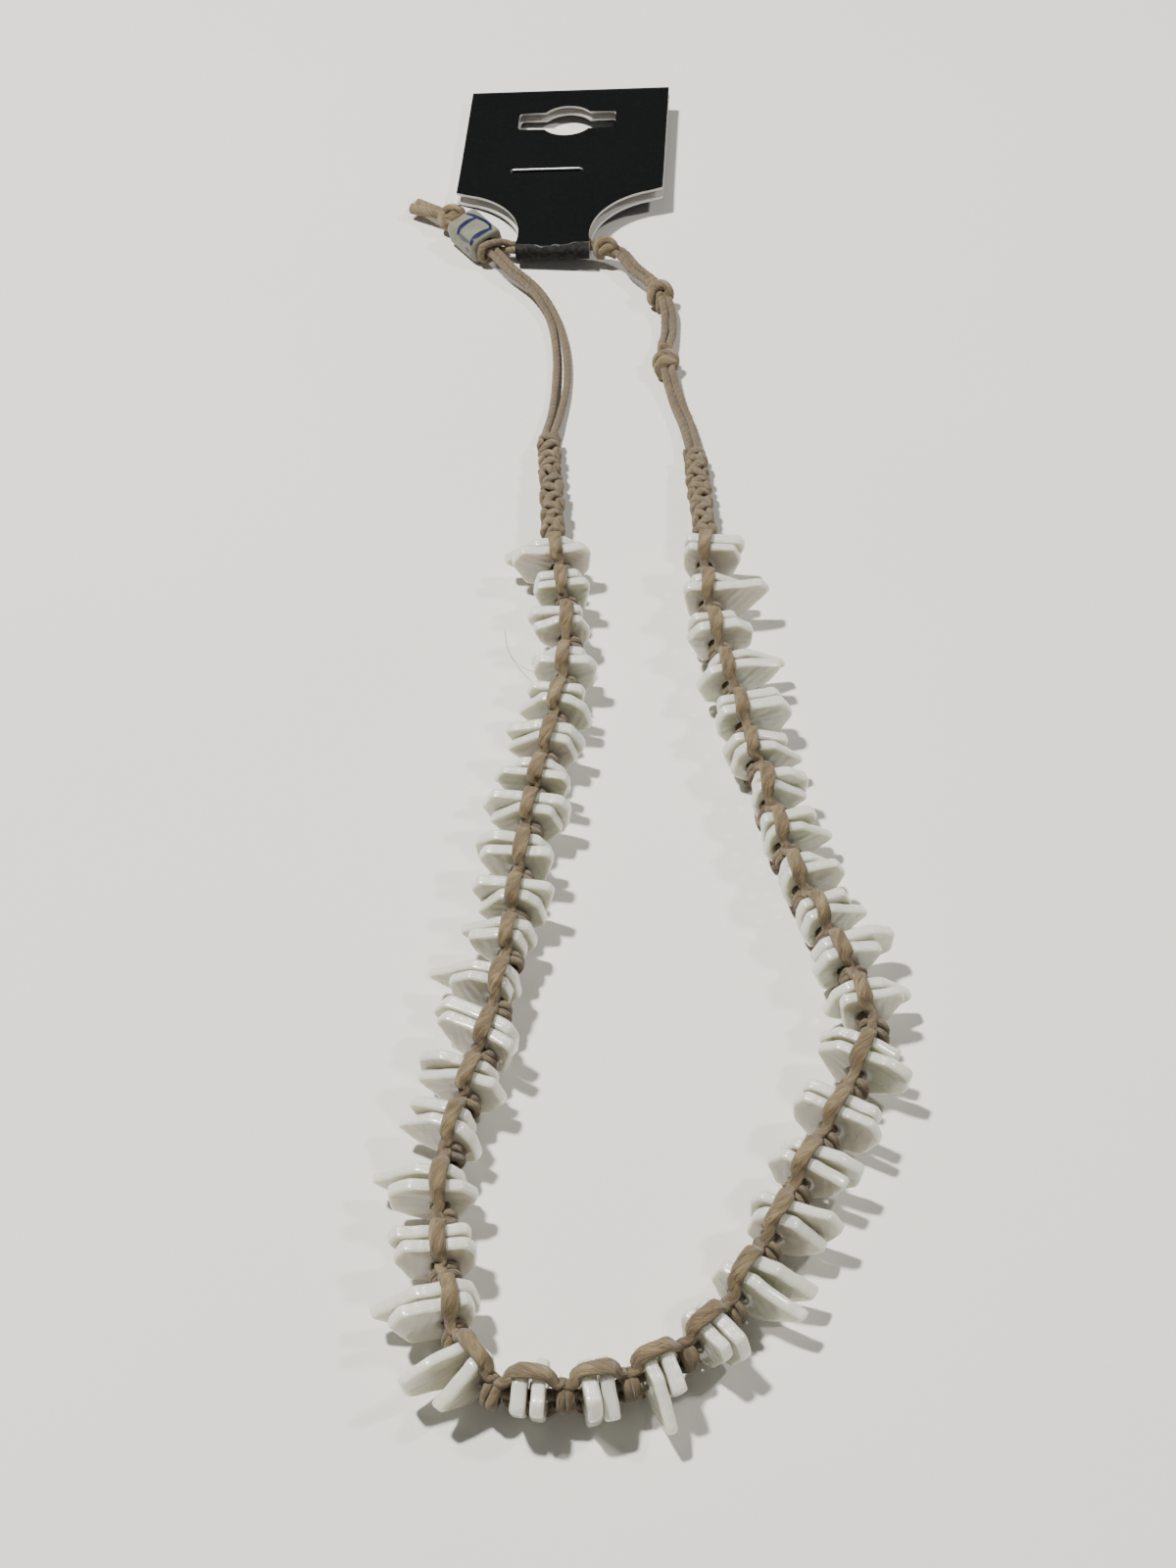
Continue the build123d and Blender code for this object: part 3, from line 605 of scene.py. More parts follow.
# Working strands: one passes over each pair and one beneath, and both wrap at each knot
# (share of the room at the knot, sideways, height over the core)
OVER_KNOT = [(-0.9, 0.05, 2.2), (-0.4, -0.1, 1.9), (0, -0.05, 1.75), (0.4, 0.1, 1.9),
    (0.92, 0.05, 2.2)]
UNDER_KNOT = [(-1.0, -0.1, -2.0), (-0.75, 0.9, -1.5), (-0.65, 1.75, -0.2), (-0.6, 1.2, 1.15),
    (-0.45, 0.2, 1.45), (-0.3, -0.8, 0.8), (-0.2, -0.9, -0.5), (-0.05, 0.1, -1.6),
    (0.1, 1.3, -1.2), (0.2, 1.85, 0.2), (0.3, 1.1, 1.35), (0.4, 0, 1.4), (0.55, -0.9, 0.4),
    (0.7, -0.8, -1.2), (1.0, -0.1, -2.0)]
# Over a pair: share of half its length, and height from the core
PAIR_KEYS = [(-1.12, 3.15), (-0.8, 3.86), (0.0, 3.96), (0.8, 3.86), (1.12, 3.15)]
UNDER_LIMIT = 3.62
KNOT_SHARE = 0.62  # of the room between knot and pair


def working_strand(first, last, over):
    """Key points of a working strand between two knots, and how tight it is there."""
    points = []
    r = np.random.default_rng(40 + over)
    sways = r.uniform(-0.32, 0.32, count + 1)
    for i in range(first, last + 1):
        if 0 < i < count:
            f = unit(knots[i + 1] - knots[i - 1])
            s = np.cross(f, UP)
            mirror = 1 if 0.6 * s[0] - 0.8 * s[1] > 0 else -1
            before = norm(knots[i] - middles[i - 1]) - rooms[i - 1]
            after = norm(middles[i] - knots[i]) - rooms[i]
            jitter = r.uniform(-0.13, 0.13, (15, 3))
            for (a, b, c), j in zip(OVER_KNOT if over else UNDER_KNOT, jitter):
                reach = (before if a < 0 else after) * KNOT_SHARE
                along = a * reach + 0.18 * b * mirror * 0.4 + 0.4 * j[0]
                place = knots[i] + f * along + s * mirror * (b + j[1]) + UP * (c + j[2])
                points.append((*place, 1.0))
        if i < last:
            f = forwards[i]
            s = np.cross(f, UP)
            for share, height in PAIR_KEYS:
                sway = sways[i] * (1 - 0.5 * abs(share)) + 0.1 * share
                height = height if over else -min(height, UNDER_LIMIT)
                place = middles[i] + f * share * rooms[i] + s * sway + UP * height
                points.append((*place, 0.0))
    return np.array(points)


def add_working(shape, first, last, over):
    """One of the two working strands: flat over a pair, narrow and dark in the knots."""
    curve = spline(working_strand(first, last, over), 0.42)
    path, tight = curve[:, :3], np.clip(curve[:, 3], 0, 1)
    tight = tight * tight * (3 - 2 * tight)
    run = run_along(path)
    width = 1.95 - (0.6 if over else 0.85) * tight
    width *= 1 + 0.08 * wobble(run, 5 + over, 3.0)
    dark = 0.75 * np.exp(-(((tight - 1) / 0.25) ** 2)) * (0.5 + 0.5 * wobble(run, 9 + over, 1.5))
    outward = unit(path - nearest(knots, path)[0])
    strand(shape, path, outward, width, 0.85 + 0.05 * tight, 18, pitch=11.0, flat=0.8, dark=dark)
    add_fuzz(shape, path, 0.6, int(run[-1] * 0.5), 1.1)


# One long loose fibre at the left of the string's fourth pair
LOOSE_FIBRE = [(-10.8, -19.2, 4.5), (-13.6, -15.7, 2.2), (-15.6, -11.7, 0.6), (-16.4, -8.7, 0.2),
               (-16.7, -5.8, 0.1)]
LOOSE_RADIUS = 0.055
split = len(left_chips) // 2
for name, first, last in (("left", 0, split), ("right", split, count)):
    shape = Shape()
    for over in (True, False):
        add_working(shape, first, last, over)
    if name == "left":
        add_hair(shape, LOOSE_FIBRE, LOOSE_RADIUS)
    shape.make_hemp("knotted_strands_" + name)

# Core through the chips
CORE_DIAMETER = 1.35
core = spline(knots, 0.6)
shape = Shape()
strand(shape, core, carried(core, UP), CORE_DIAMETER, CORE_DIAMETER, 10, pitch=2.6)
shape.make_hemp("core_cord", "core_hemp")

# Braids: square knots of two working strands round two straight cords
# (along in half knots from each one's middle, sideways and up in mm)
BRAID_HALVES = 12
BRAID_FRONT = [(-0.28, -0.72, 0.85), (0.0, 0.0, 1.18), (0.28, 0.72, 0.85), (0.5, 1.18, 0.0)]
BRAID_BACK = [(-0.1, 0.0, -1.1), (0.15, -0.95, -0.75), (0.32, -1.3, 0.1), (0.5, -1.08, 0.75),
              (0.68, -1.3, 0.1), (0.85, -0.95, -0.75)]


def add_braid(name, low, high, d, seed):
    """A braid from low to high; d is -1 or 1, the side its back strand sets out from."""
    shape = Shape()
    f = unit(high - low)
    s = unit(np.cross(f, UP))
    u = np.cross(s, f)
    length = norm(high - low)
    h = length / BRAID_HALVES
    r = np.random.default_rng(seed)
    front, back = [(0.0, -d * 0.9, -0.1)], [(0.0, d * 0.9, -0.6)]
    for k in range(BRAID_HALVES):
        for keys, turn in ((front, BRAID_FRONT), (back, BRAID_BACK)):
            keys += [((k + 0.5) * h + a * h, b * d, c) for a, b, c in turn]
        d = -d
    for keys in (front, back):
        keys = np.array(keys)
        keys = keys[(keys[:, 0] > -0.01) & (keys[:, 0] < length + 0.2)]
        keys[:, 1:] += r.uniform(-0.17, 0.17, (len(keys), 2))
        keys[:, 0] += r.uniform(-0.2, 0.2, len(keys))
        path = spline(low + keys[:, :1] * f + keys[:, 1:2] * s + keys[:, 2:] * u, 0.3)
        outward = path - low - ((path - low) @ f)[:, None] * f
        strand(shape, path, unit(outward + 1e-4), 1.5, 1.05, 14, pitch=3.4, flat=0.85)
        add_fuzz(shape, path, 0.45, 34)
    for way in (-s, s):
        path = spline([low + way * 0.5, (low + high) / 2 + way * 0.5, high + way * 0.55], 0.5)
        strand(shape, path, carried(path, u), 0.95, 0.95, 10)
    shape.make_hemp(name)


def braid_ends(string_end, tie_row):
    end, start = np.array([*string_end, CORE_HEIGHT]), np.array(tie_row[:3])
    along = unit(start - end)
    return end + along * 0.12, start - along * 0.65


add_braid("left_braid", *braid_ends(STRING_ROUTE[0], LEFT_TIES[0]), 1, 21)
add_braid("right_braid", *braid_ends(STRING_ROUTE[-1], RIGHT_TIES[0]), -1, 22)

# Bead's axis, and the ring of the end loop in front of it
bearing = radians(BEAD_BEARING)
bead_axis = np.array((cos(bearing), sin(bearing), 0))
bead_side = np.cross(UP, bead_axis)
bead_centre = np.array(BEAD_PLACE)
ring_place = bead_centre + bead_axis * (BEAD_LENGTH / 2 + 0.24 + TWINE / 2)
ring_half_width = 1.57 * TWINE + 0.12
ring_half_height = TWINE + 0.12
stop_place = bead_centre - bead_axis * (BEAD_LENGTH / 2 + 0.12)
TWINE_PITCH, TWINE_STEP = 2.3, 0.32
BEAD_TWINE = TWINE * 0.94
RIGHT_APART = 0.6  # the right tie's twines lie no farther apart than this


def twine_pair(rows, sign, most=1.0):
    """Points of one of the two twines of a tie."""
    centres = np.array([row[:3] for row in rows])
    points = []
    for i, row in enumerate(rows):
        run = centres[min(i + 1, len(rows) - 1)] - centres[max(i - 1, 0)]
        side = unit(np.cross(run, UP))
        twist = radians(row[4])
        offset = side * cos(twist) + UP * sin(twist)
        apart = np.interp(min(row[3], most), (0.57, 0.70), (0.49, 0.73))
        points.append(centres[i] + offset * sign * apart * TWINE)
    return points


def add_twine(shape, points, diameter=TWINE):
    path = spline(points, TWINE_STEP)
    seed = int(abs(path[0]).sum() * 97) % 1000
    size = diameter * (1.06 + 0.06 * wobble(run_along(path), seed, 2.5))
    strand(shape, path, carried(path, UP), size, size, 14, pitch=TWINE_PITCH)
    add_fuzz(shape, path, diameter / 2, int(len(path) * TWINE_STEP * 1.6))


ring_row = (*(ring_place + bead_axis * ring_half_height), 0.57, 0)
left_rows = LEFT_TIES + [ring_row, (*stop_place, 0.57, 0)]
shape = Shape()
for sign in (-1, 1):
    add_twine(shape, twine_pair(left_rows, sign), BEAD_TWINE)
shape.make_hemp("bead_ties")

ring_right, ring_left = bead_side * 1.9, bead_side * -ring_half_width * 0.86
ring_rise = UP * ring_half_height * 0.86
ring_keys = [
    ring_place + side + ring_rise * share
    for side, share in ((ring_right, 0.72), (ring_left, 1), (ring_left, -1), (ring_right, -0.72))
]
back = twine_pair(RIGHT_TIES, -1, RIGHT_APART)[::-1]
shape = Shape()
add_twine(shape, twine_pair(RIGHT_TIES, 1, RIGHT_APART) + ring_keys + back)
shape.make_hemp("loop_tie")

# Knots: width, thickness and key points of each band, as the viewer sees it (right, up, nearer)
VIEW_RIGHT = np.array((1, 0, 0))
VIEW_UP = np.array((0, 0.62, 0.785))
VIEW_OUT = np.array((0, -0.785, 0.62))
# Upper knot: the twines wrap round its left side and over its top, and a band crosses inside
upper = [
    (1.45, 1.2, [(-0.3, -1.2, -0.8), (-1.2, -1.1, 0.1), (-1.5, 0.1, 0.45), (-1.25, 1.2, 0.4),
        (-0.8, 1.9, -0.3)]),
    (1.6, 1.3, [(-1.1, 0.2, 0), (-0.55, 1.15, 0.6), (0.4, 1.35, 0.7), (1.35, 0.7, 0.6),
        (1.5, -0.4, 0.1), (0.7, -0.9, -0.6)]),
    (1.5, 1.2, [(-1.0, -1.1, -0.1), (-0.55, -0.65, 0.7), (0, 0, 1.05), (0.75, 0.3, 0.9),
        (1.3, 0.2, 0.2)]),
    (1.7, 1.2, [(-0.5, -0.2, 0.1), (0.3, -0.5, 0.5), (1.0, -0.7, 0.4), (1.9, -1.1, -0.1)]),
]
# Middle knot: an arch over the top, and the pair leaves from beneath it
middle = [
    (2.0, 1.5, [(0.1, -1.2, -0.8), (-1.1, -1.3, 0.1), (-1.5, -0.2, 0.6), (-1.2, 0.9, 0.7),
        (-0.1, 1.45, 0.85), (1.1, 1.0, 0.75), (1.5, -0.1, 0.5), (1.1, -1.2, -0.2),
        (0.3, -1.5, -1.0)]),
    (1.3, 1.2, [(-0.25, 0.8, 0.2), (-0.2, -0.2, 0.95), (-0.1, -1.6, 0.8), (0, -3.1, 0.15)]),
    (1.3, 1.2, [(0.75, 0.7, 0.2), (0.8, -0.4, 0.8), (0.9, -1.6, 0.7), (1.1, -3.1, 0.1)]),
    (2.2, 1.4, [(-1.9, 2.4, -0.5), (-1.1, 1.5, -0.2), (0, 0.4, 0), (0.3, -0.6, -0.2)]),
]
# Lower knot: a collar round the top, a fat turn across the front, and the pair leaves to the right
lower = [
    (1.8, 1.4, [(-0.9, -1.0, -0.8), (-1.45, -0.4, 0.1), (-1.25, 0.8, 0.5), (0, 1.45, 0.7),
        (1.25, 0.9, 0.55), (1.45, -0.4, 0.2), (1.0, -1.4, -0.6)]),
    (2.3, 1.5, [(1.3, 0.6, -0.1), (0.75, 0.35, 1.15), (-0.3, 0, 1.75), (-0.85, -0.85, 1.7),
        (-0.6, -1.75, 1.1), (-0.1, -2.4, 0)]),
    (1.5, 1.2, [(1.4, -0.4, 0), (1.1, -1.0, 0.7), (0.4, -1.5, 0.9), (-0.3, -2.0, 0.4)]),
    (2.3, 1.3, [(0.1, -0.6, -0.1), (0.35, -1.5, 0.35), (0.75, -2.6, 0.3), (1.05, -3.8, 0.05)]),
    (2.2, 1.2, [(-0.1, 3.0, 0), (0, 1.9, 0.1), (0, 0.8, 0.1), (0.2, -0.4, -0.1)]),
]
# Stop knot: an outer arch on the bead's side, a lower turn and a crossing band
stop = [
    (2.0, 1.4, [(-1.5, 0.5, -0.7), (-0.85, 1.35, 0.2), (0.6, 1.5, 0.75), (1.6, 0.9, 0.7),
        (1.65, -0.3, 0.6), (1.05, -1.5, 0.2), (0.2, -1.8, -0.7)]),
    (2.2, 1.6, [(-1.1, 0.8, -0.3), (-1.6, 0, 0.4), (-1.25, -0.95, 0.8), (-0.2, -1.45, 0.85),
        (0.8, -1.2, 0.45), (1.3, -0.6, -0.4)]),
    (2.1, 1.4, [(-1.2, -0.6, 0), (-0.5, -0.35, 0.85), (0.25, 0.1, 1.15), (0.8, 0.8, 0.8),
        (0.9, 1.4, -0.2)]),
]


def add_bands(shape, centre, bands):
    """Bands of a knot, each turned to lie round the knot's middle."""
    for width, thickness, keys in bands:
        points = [centre + a * VIEW_RIGHT + b * VIEW_UP + c * VIEW_OUT for a, b, c in keys]
        path = spline(points, 0.25)
        share = np.linspace(0, 1, len(path))
        ends = 0.55 + 0.45 * np.clip(np.minimum(share, 1 - share) / 0.08, 0, 1)
        size = 1 + 0.05 * wobble(share * 8, int(abs(keys[0][0]) * 100), 1.2)
        outward = unit(path - centre + 0.15 * UP)
        width_here, thick_here = width * ends * size, thickness * ends
        strand(shape, path, outward, width_here, thick_here, 18, pitch=7.5, flat=0.85)
        add_fuzz(shape, path, width / 2 * 0.8, 12, 0.8)


def add_knot(name, rows, bands, right=0.0, up=0.0):
    """A knot midway between two rows of its tie, moved a little in the view."""
    shape = Shape()
    centre = (np.array(rows[0][:3]) + np.array(rows[1][:3])) / 2
    add_bands(shape, centre + right * VIEW_RIGHT + up * VIEW_UP, bands)
    shape.make_hemp(name)


add_knot("right_knot_lower", RIGHT_TIES[3:5], lower, -0.1, -0.45)
add_knot("right_knot_middle", RIGHT_TIES[6:8], middle)
add_knot("right_knot_upper", RIGHT_TIES[9:11], upper)

# Stop knot and its flattened, frayed tail (keys: along, sideways, up)
STOP_REACH = 3.05
TAIL_BEARING, TAIL_DROP = radians(145), radians(5)
TAIL_KEYS = [(0.5, 0.4, 0.2), (2.6, 0.5, 0.15), (5.0, 0.62, 0.05), (7.0, 0.78, 0), (7.9, 0.8, 0)]
TAIL_HAIRS, TAIL_HAIR_RADIUS = 26, 0.085
shape = Shape()
stop_centre = stop_place - bead_axis * STOP_REACH
add_bands(shape, stop_centre, stop)
tail_way = np.array((cos(TAIL_BEARING) * cos(TAIL_DROP),
                     sin(TAIL_BEARING) * cos(TAIL_DROP), -sin(TAIL_DROP)))
tail_side = unit(np.cross(tail_way, UP))
for sign in (-1, 1):
    keys = [stop_centre + tail_way * a + tail_side * sign * b + UP * c for a, b, c in TAIL_KEYS]
    path = spline(keys, 0.25)
    ease = np.linspace(0, 1, len(path))
    end = 0.75 + 0.25 * np.sqrt(np.clip((1.03 - ease) / 0.05, 0, 1))
    strand(shape, path, carried(path, UP), (1.35 + 0.4 * ease) * end, (1.45 + 0.5 * ease) * end, 16,
           plies=0, pitch=6.0)
    add_fuzz(shape, path, 0.55, TAIL_HAIRS, 1.3)
    for n in range(TAIL_HAIRS):
        spot = path[-1] + tail_side * rng.uniform(-0.6, 0.6) + UP * rng.uniform(-0.4, 0.45)
        spot -= tail_way * 0.5
        tip = spot + tail_way * rng.uniform(0.6, 1.3) + tail_side * rng.uniform(-0.35, 0.35)
        tip += UP * rng.uniform(-0.15, 0.2)
        bend = (spot + tip) / 2 + UP * rng.uniform(0, 0.1)
        add_hair(shape, np.stack([spot, bend, tip]), TAIL_HAIR_RADIUS)
shape.make_hemp("stop_knot")


# Bead: a rounded square tube with hand-brushed blue lines
# (key points along and across its top, width and strength)
STROKES = [
    ([(-0.6, -2.55), (-1.1, -1.3), (-1.3, 0.2), (-1.0, 1.6)], 0.78, 1.0),
    ([(3.1, -2.5), (2.85, -1.2), (2.85, 0.2), (3.0, 1.55)], 0.9, 1.0),
    ([(-0.5, -2.6), (1.1, -2.7), (2.7, -2.6)], 0.36, 0.6),
    ([(-3.0, 1.0), (-2.1, 1.4), (-1.0, 1.7), (0.8, 2.15), (2.2, 2.05), (3.0, 1.6)], 0.6, 1.0),
]
# Dots on its side: along, up, size and strength
DOTS = [(2.1, 0.25, 0.9, 1), (2.95, -0.5, 0.55, 0.9), (-1.4, 0.5, 0.55, 0.6), (0.3, 0.4, 0.5, 0.5)]
BEAD_AROUND, BEAD_RINGS = 208, 62
BORE_ROUND = 0.25
BEAD_INSET = 0.05
TOP_FROM, SIDE_FROM = 1.2, -1.9  # where ink may lie


def stroke_ink(u, v):
    """How blue the top face is at a place along (u) and across (v) the bead."""
    ink = np.zeros_like(u)
    for keys, width, strength in STROKES:
        line = spline([(a, b, 0.0) for a, b in keys], 0.12)[:, :2]
        gap = np.hypot(u[:, None] - line[:, 0], v[:, None] - line[:, 1])
        share = gap.argmin(1) / len(line)
        body = width / 2 * (0.75 + 0.5 * np.sin(pi * np.clip(share * 1.1, 0, 1)))
        ink = np.maximum(ink, strength * np.clip((body - gap.min(1)) / 0.14 + 0.5, 0, 1))
    return ink


def bead_profile():
    """The bead's rings, from the bore's end round to its inside: kind, place and size."""
    half, quarter, bore = BEAD_LENGTH / 2, pi / 2, BEAD_BORE / 2
    end = [("bore", -half + BORE_ROUND - BORE_ROUND * sin(a),
            bore + BORE_ROUND * (1 - cos(a))) for a in np.linspace(0, quarter, 5)]
    end += [("end", -half, share) for share in (0.2, 0.4, 0.6, 0.8)]
    end += [("rim", -half + BEAD_RIM * (1 - sin(a)), BEAD_RIM * (1 - cos(a)))
            for a in np.linspace(quarter, 0, 9)]
    straight = np.linspace(-half + BEAD_RIM, half - BEAD_RIM, BEAD_RINGS)[1:-1]
    side = [("side", t, 0.0) for t in straight]
    other = [(kind, -t, value) for kind, t, value in end[::-1]]
    inside = half - BORE_ROUND - (BEAD_LENGTH - 2 * BORE_ROUND) * np.array((0.25, 0.5, 0.75))
    return end + side + other + [("bore", t, bore) for t in inside]


def rounded_square():
    """The bead's outline across its axis, from the middle of its underside round."""
    halves = np.array((BEAD_WIDTH / 2, BEAD_HEIGHT / 2))
    ways = np.array([(0, -1), (1, 0), (0, 1), (-1, 0)])
    square = []
    for q in np.linspace(0, 4, BEAD_AROUND, endpoint=False):
        corner, share = int(q), q - int(q)
        d1, d2 = ways[corner], ways[(corner + 1) % 4]
        r1, r2 = abs(d1) @ halves, abs(d2) @ halves
        run1, run2, arc = r2 - BEAD_CORNER, r1 - BEAD_CORNER, BEAD_CORNER * pi / 2
        at = share * (run1 + run2 + arc)
        if at < run1:
            square.append(d1 * r1 + d2 * at)
        elif at > run1 + arc:
            square.append(d2 * r2 + d1 * (run1 + run2 + arc - at))
        else:
            a = (at - run1) / BEAD_CORNER
            round_way = d1 * cos(a) + d2 * sin(a)
            square.append(d1 * run2 + d2 * run1 + BEAD_CORNER * round_way)
    return np.array(square)


def make_bead():
    square = rounded_square()
    ahead = np.roll(square, -3, 0) - np.roll(square, 3, 0)
    out = unit(np.stack([ahead[:, 1], -ahead[:, 0]], 1))
    spoke = unit(square)
    mouth, shoulder = spoke * (BEAD_BORE / 2 + BORE_ROUND), square - out * BEAD_RIM
    roll = radians(BEAD_ROLL)
    face_side = bead_side * cos(roll) + UP * sin(roll)
    face_up = UP * cos(roll) - bead_side * sin(roll)
    turn = 3 * np.linspace(0, 2 * pi, BEAD_AROUND)
    verts, ink = [], []
    for kind, t, value in bead_profile():
        if kind == "bore":
            ring, waviness = spoke * value, 0
        elif kind == "end":
            ring, waviness = mouth + (shoulder - mouth) * value, value**2
        else:
            ring, waviness = square - out * value, 1
        ring = ring - out * (BEAD_INSET + 0.05 * np.sin(turn + t * 0.4) * waviness)[:, None]
        x, y = ring.T
        place = bead_centre + UP * BEAD_LIFT + bead_axis * t
        verts.append(place + np.outer(x, face_side) + np.outer(y, face_up))
        level = np.zeros(BEAD_AROUND)
        if kind in ("rim", "side"):
            top = y > TOP_FROM
            level[top] = stroke_ink(np.full(top.sum(), t), x[top])
            for u, v, size, strength in DOTS:
                dot = np.clip((size / 2 * 1.2 - np.hypot(t - u, y - v)) / 0.2 + 0.5, 0, 1)
                level = np.maximum(level, (x < SIDE_FROM) * strength * dot)
        ink.append(level)
    shape = Shape()
    faces = grid_faces(len(verts), BEAD_AROUND, looped=True)
    shape.add(np.vstack(verts), faces, ink=np.concatenate(ink))
    shape.make("bead_glazed", glaze, ["ceramic_bead"])


make_bead()


# Card: one folded sheet, black outside, white inside and on its cut edges
# (x from its middle, y from the fold, z over its underside)
def front_height(y):
    """Height of the front leaf's middle over the card's plane."""
    half = CARD_SHEET / 2
    top, low = CARD_FOLD_HEIGHT - half, CARD_GAP + 3 * half

    def line(at):
        bends = [0, 2 * CARD_FOLD_BEND + half, STAPLE_FROM_FOLD, CARD_HEIGHT]
        return np.interp(at, bends, [top, top, low, low])

    soft = sum(line(y + shift) for shift in np.linspace(-2.6, 2.6, 9)) / 9
    share = np.clip((y - 14) / 8, 0, 1)
    return line(y) * (1 - share) + soft * share


def half_outline(y):
    """Half the card's width at a distance from the fold."""
    half, waist = CARD_WIDTH / 2, CARD_WAIST / 2
    a = np.array((waist, CARD_WAIST_LENGTH))
    b = np.array((waist + 0.28 * (half - waist), CARD_WAIST_LENGTH + 0.72 * CARD_CURVE_LENGTH))
    c = np.array((half, CARD_WAIST_LENGTH + CARD_CURVE_LENGTH))
    m = np.array([b - a, c - a])
    centre = np.linalg.solve(m, 0.5 * np.array([b @ b - a @ a, c @ c - a @ a]))
    radius = norm(a - centre)
    inside = np.sqrt(np.maximum(radius**2 - (y - centre[1]) ** 2, 0))
    return np.where(y < a[1], waist, np.where(y > c[1], half, centre[0] - inside))


turn, roll = radians(CARD_TURN), radians(CARD_ROLL)
card_x = np.array((cos(turn) * cos(roll), sin(turn) * cos(roll), sin(roll)))
card_y = np.array((-sin(turn), cos(turn), 0))
card_z = np.cross(card_x, card_y)
card_origin = np.array(CARD_PLACE)


def slot_edge():
    """Half the hang slot's outline, from lowest to highest (x, from the fold)."""
    arm, half, eye, r = SLOT_ARM / 2, SLOT_WIDTH / 2, SLOT_EYE / 2, SLOT_CORNER
    meet = math.asin(arm / eye)
    lower = [(eye * cos(a), eye * sin(a)) for a in np.linspace(-pi / 2, -meet, 14)]
    lower += [(x, -arm) for x in np.linspace(eye * cos(meet), half - r, 6)[1:]]
    lower += [(half - r + r * cos(a), r - arm + r * sin(a))
              for a in np.linspace(-pi / 2, 0, 5)[1:]]
    side = [(half, y) for y in np.linspace(r - arm, arm - r, 6)[1:-1]]
    points = lower + side + [(x, -y) for x, y in lower[::-1]]
    return np.array([(max(x, 0.0), y + SLOT_FROM_FOLD) for x, y in points])


def crease_line_and_fold_sheen(x, along):
    """How much the black sheet is lightened at a distance beyond the fold's upper edge: a lighter
    line along the crease, and a painted sheen over the fold's face below it.
    """
    crease = 0.1 - 0.45 * cos(x * 0.42 + 0.3) + 0.12 * sin(x * 1.7 + 1)
    crease += 0.05 * sin(x * 4.1)
    ridge = math.exp(-(((along - crease) / 0.10) ** 2)) * (0.6 + 0.4 * sin(x * 2.3))
    ridge *= (1 if x > -4 else 0.35)
    # Below the crease, on the fold's face, a painted sheen of 0.13.
    return max(ridge, 0.13 if along < crease else 0.0)


def fold_steps():
    """The fold from the back leaf to the front one: y, z and the way it faces."""
    half, bend = CARD_SHEET / 2, CARD_FOLD_BEND
    low, high = half + bend, CARD_FOLD_HEIGHT - half - bend
    arcs = [radians(a) for a in np.linspace(85, 0, 18)]

    def turn(z, sign, angles):
        return [(low - bend * cos(a), z + sign * bend * sin(a),
                 (-cos(a), sign * sin(a))) for a in angles]

    upright = [(half, z, (-1.0, 0.0)) for z in np.linspace(low, high, 5)[1:-1]]
    return turn(low, -1, arcs) + upright + turn(high, 1, arcs[::-1])


CARD_COLUMNS = 30
FOLD_LAYER = 10  # the leaves are layers 0 and 1


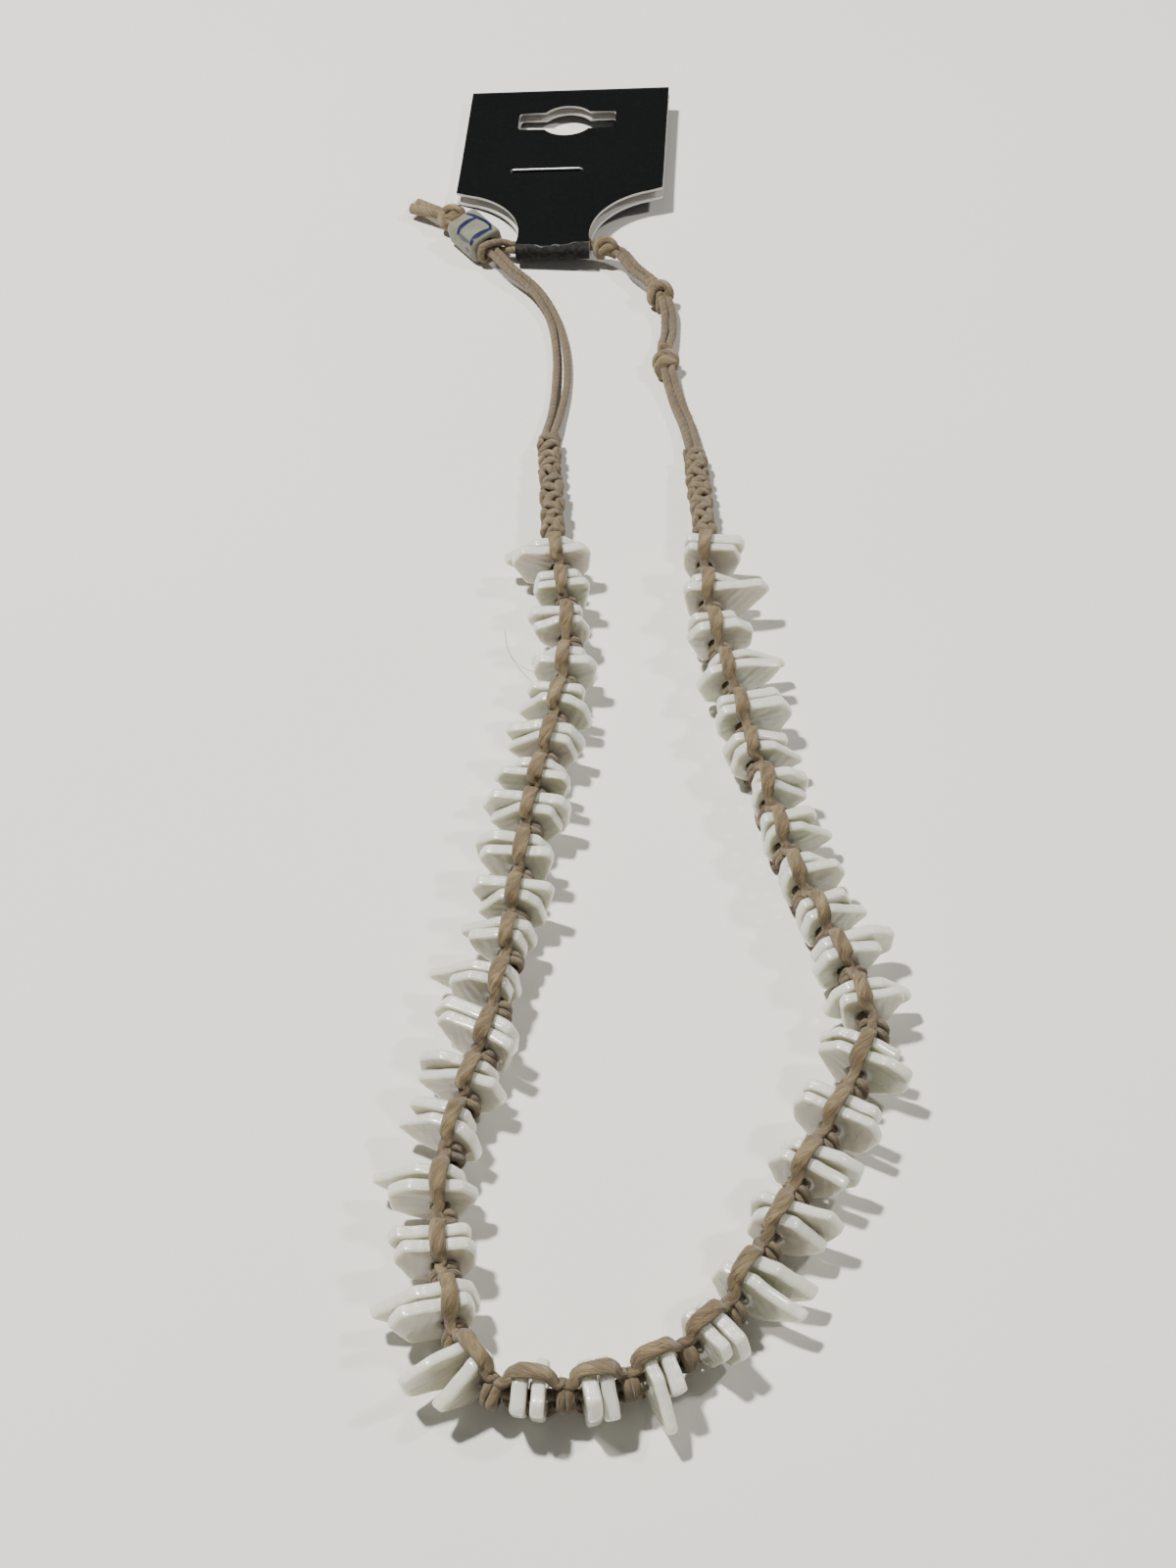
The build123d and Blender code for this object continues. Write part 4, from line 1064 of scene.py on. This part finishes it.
def make_card():
    slot = slot_edge()
    start, end = slot[0][1], slot[-1][1]
    low = np.concatenate([np.linspace(1.1, 2.6, 13), np.linspace(2.6, start, 46)[1:-1]])
    high = np.linspace(end, CARD_HEIGHT, 10)[1:]
    inner = np.vstack([np.stack([0 * low, low], 1), slot, np.stack([0 * high, high], 1)])
    outer_y = np.concatenate([low, np.linspace(start, end, len(slot)), high])
    half, points, index, quads = CARD_SHEET / 2, [], {}, []
    shares = np.linspace(0, 1, CARD_COLUMNS)

    def vertex(layer, x, y, z, way, crease_and_sheen_level):
        key = (layer, round(x, 4), round(y, 4))
        if key not in index:
            index[key] = len(points)
            points.append((x, y, z, *way, crease_and_sheen_level))
        return index[key]

    def leaf_row(front, sign, x0, y0, x1, y1):
        row = []
        for t in shares:
            x, y = sign * (x0 + (x1 - x0) * t), y0 + (y1 - y0) * t
            z, way, crease_and_sheen_level = half, (0.0, -1.0), 0.0
            if front:
                z, slope = front_height(y), (front_height(y + 0.1) - front_height(y - 0.1)) / 0.2
                way, crease_and_sheen_level = unit((-slope, 1.0)), crease_line_and_fold_sheen(x, y - half - CARD_FOLD_BEND)
            row.append(vertex(front, x, y, z, way, crease_and_sheen_level))
        return row

    def fold_row(layer, sign, y, z, way):
        # The fold's own face lies below the crease, so it takes the painted sheen.
        beyond = (math.degrees(math.atan2(way[1], -way[0])) - 90) / 90 * 1.4
        xs = sign * CARD_WAIST / 2 * shares
        return [vertex(layer, x, y, z, way, crease_line_and_fold_sheen(x, beyond)) for x in xs]

    for sign in (-1, 1):
        back, front = (
            [leaf_row(leaf, sign, x, y, half_outline(edge), edge)
             for (x, y), edge in zip(inner, outer_y)]
            for leaf in (False, True)
        )
        fold = [fold_row(FOLD_LAYER + n, sign, *step) for n, step in enumerate(fold_steps())]
        sheet = back[::-1] + fold + front
        for r0, r1 in zip(sheet, sheet[1:]):
            for c in range(CARD_COLUMNS - 1):
                quad = tuple(dict.fromkeys((r0[c], r0[c + 1], r1[c + 1], r1[c])))
                if len(quad) > 2:
                    quads.append(quad if sign > 0 else quad[::-1])
    data = np.array(points)
    x, y, z, out_y, out_z, crease_and_sheen_level = data.T[..., None]
    way = out_y * card_y + out_z * card_z
    middle = card_origin + x * card_x + y * card_y + z * card_z
    total = len(data)
    edges = dict.fromkeys(edge for quad in quads for edge in zip(quad, quad[1:] + quad[:1]))
    rims = [(i, j) for i, j in edges if (j, i) not in edges]
    rim_points = sorted({i for edge in rims for i in edge})
    again = {i: 2 * total + n for n, i in enumerate(rim_points)}
    width = len(rim_points)
    faces = quads + [tuple(total + i for i in quad[::-1]) for quad in quads]
    faces += [(again[j], again[i], again[i] + width, again[j] + width) for i, j in rims]
    outside, inside = middle + way * half, middle - way * half
    shape = Shape()
    shape.add(np.vstack([outside, inside, outside[rim_points], inside[rim_points]]), faces,
              wear=np.concatenate([crease_and_sheen_level.ravel(), np.zeros(total + 2 * width)]))
    mesh = shape.make("card_sheet", card_front, ["hang_card"]).data
    mesh.materials.append(card_white)
    white = np.zeros(len(mesh.polygons), dtype=np.int32)
    white[len(quads):] = 1
    mesh.polygons.foreach_set("material_index", white)


make_card()

# Staple keeps its CAD shape
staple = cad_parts["staple"].data.materials
staple.clear()
staple.append(wire)

# Floor, lights and camera, in metres
FLOOR_HALF, FLOOR_DROP = 3, 0.00005
KEY_COLOUR, FILL_COLOUR, SKY_COLOUR = (1.0, 0.975, 0.93), (1.0, 0.99, 0.96), (0.92, 0.95, 1.0)
SKY_STRENGTH = 0.065
# Discs that face the middle: name, place, diameter, watts and colour
LIGHTS = [
    ("key", (-0.42, 0.16, 1.0), 0.10, 22.5, KEY_COLOUR),
    ("second", (0.75, 0.14, 0.85), 0.11, 5.6, KEY_COLOUR),
    ("fill", (0.0, -0.85, 0.55), 0.8, 1.0, FILL_COLOUR),
]
CAMERA_PLACE, CAMERA_TILT = (-0.005, -0.2578, 0.236), 43.3
CAMERA_LENS, CAMERA_SENSOR, CAMERA_NEAR = 56.25, 36, 0.01

floor_mesh = bpy.data.meshes.new("floor")
h = FLOOR_HALF
floor_mesh.from_pydata([(-h, -h, 0), (h, -h, 0), (h, h, 0), (-h, h, 0)], [], [(0, 1, 2, 3)])
floor = add_object("floor", floor_mesh, (0, 0, -FLOOR_DROP))
m = Nodes("pale_floor")
ground = m.noise(m.place(), 9.0, 3.0)
ground = m.ramp(ground, (0.3, (0.80, 0.782, 0.735)), (0.7, (0.83, 0.812, 0.765)))
floor_mesh.materials.append(m.finish(Base_Color=ground, Roughness=0.9))

for name, place, size, power, colour in LIGHTS:
    light = bpy.data.lights.new(name, "AREA")
    light.shape = "DISK"
    light.size, light.energy, light.color = size, power, colour
    way = Vector((0, 0, 0)) - Vector(place)
    add_object(name, light, place).rotation_euler = way.to_track_quat("-Z", "Y").to_euler()
world = bpy.data.worlds.new("studio")
bpy.context.scene.world = world
world.use_nodes = True
sky = world.node_tree.nodes["Background"]
sky.inputs["Color"].default_value = (*SKY_COLOUR, 1)
sky.inputs["Strength"].default_value = SKY_STRENGTH

optics = bpy.data.cameras.new("camera")
optics.sensor_fit = "VERTICAL"
optics.sensor_height = CAMERA_SENSOR
optics.lens = CAMERA_LENS
optics.clip_start = CAMERA_NEAR
camera = add_object("camera", optics, CAMERA_PLACE)
camera.rotation_euler = (radians(CAMERA_TILT), 0, 0)
bpy.context.scene.camera = camera
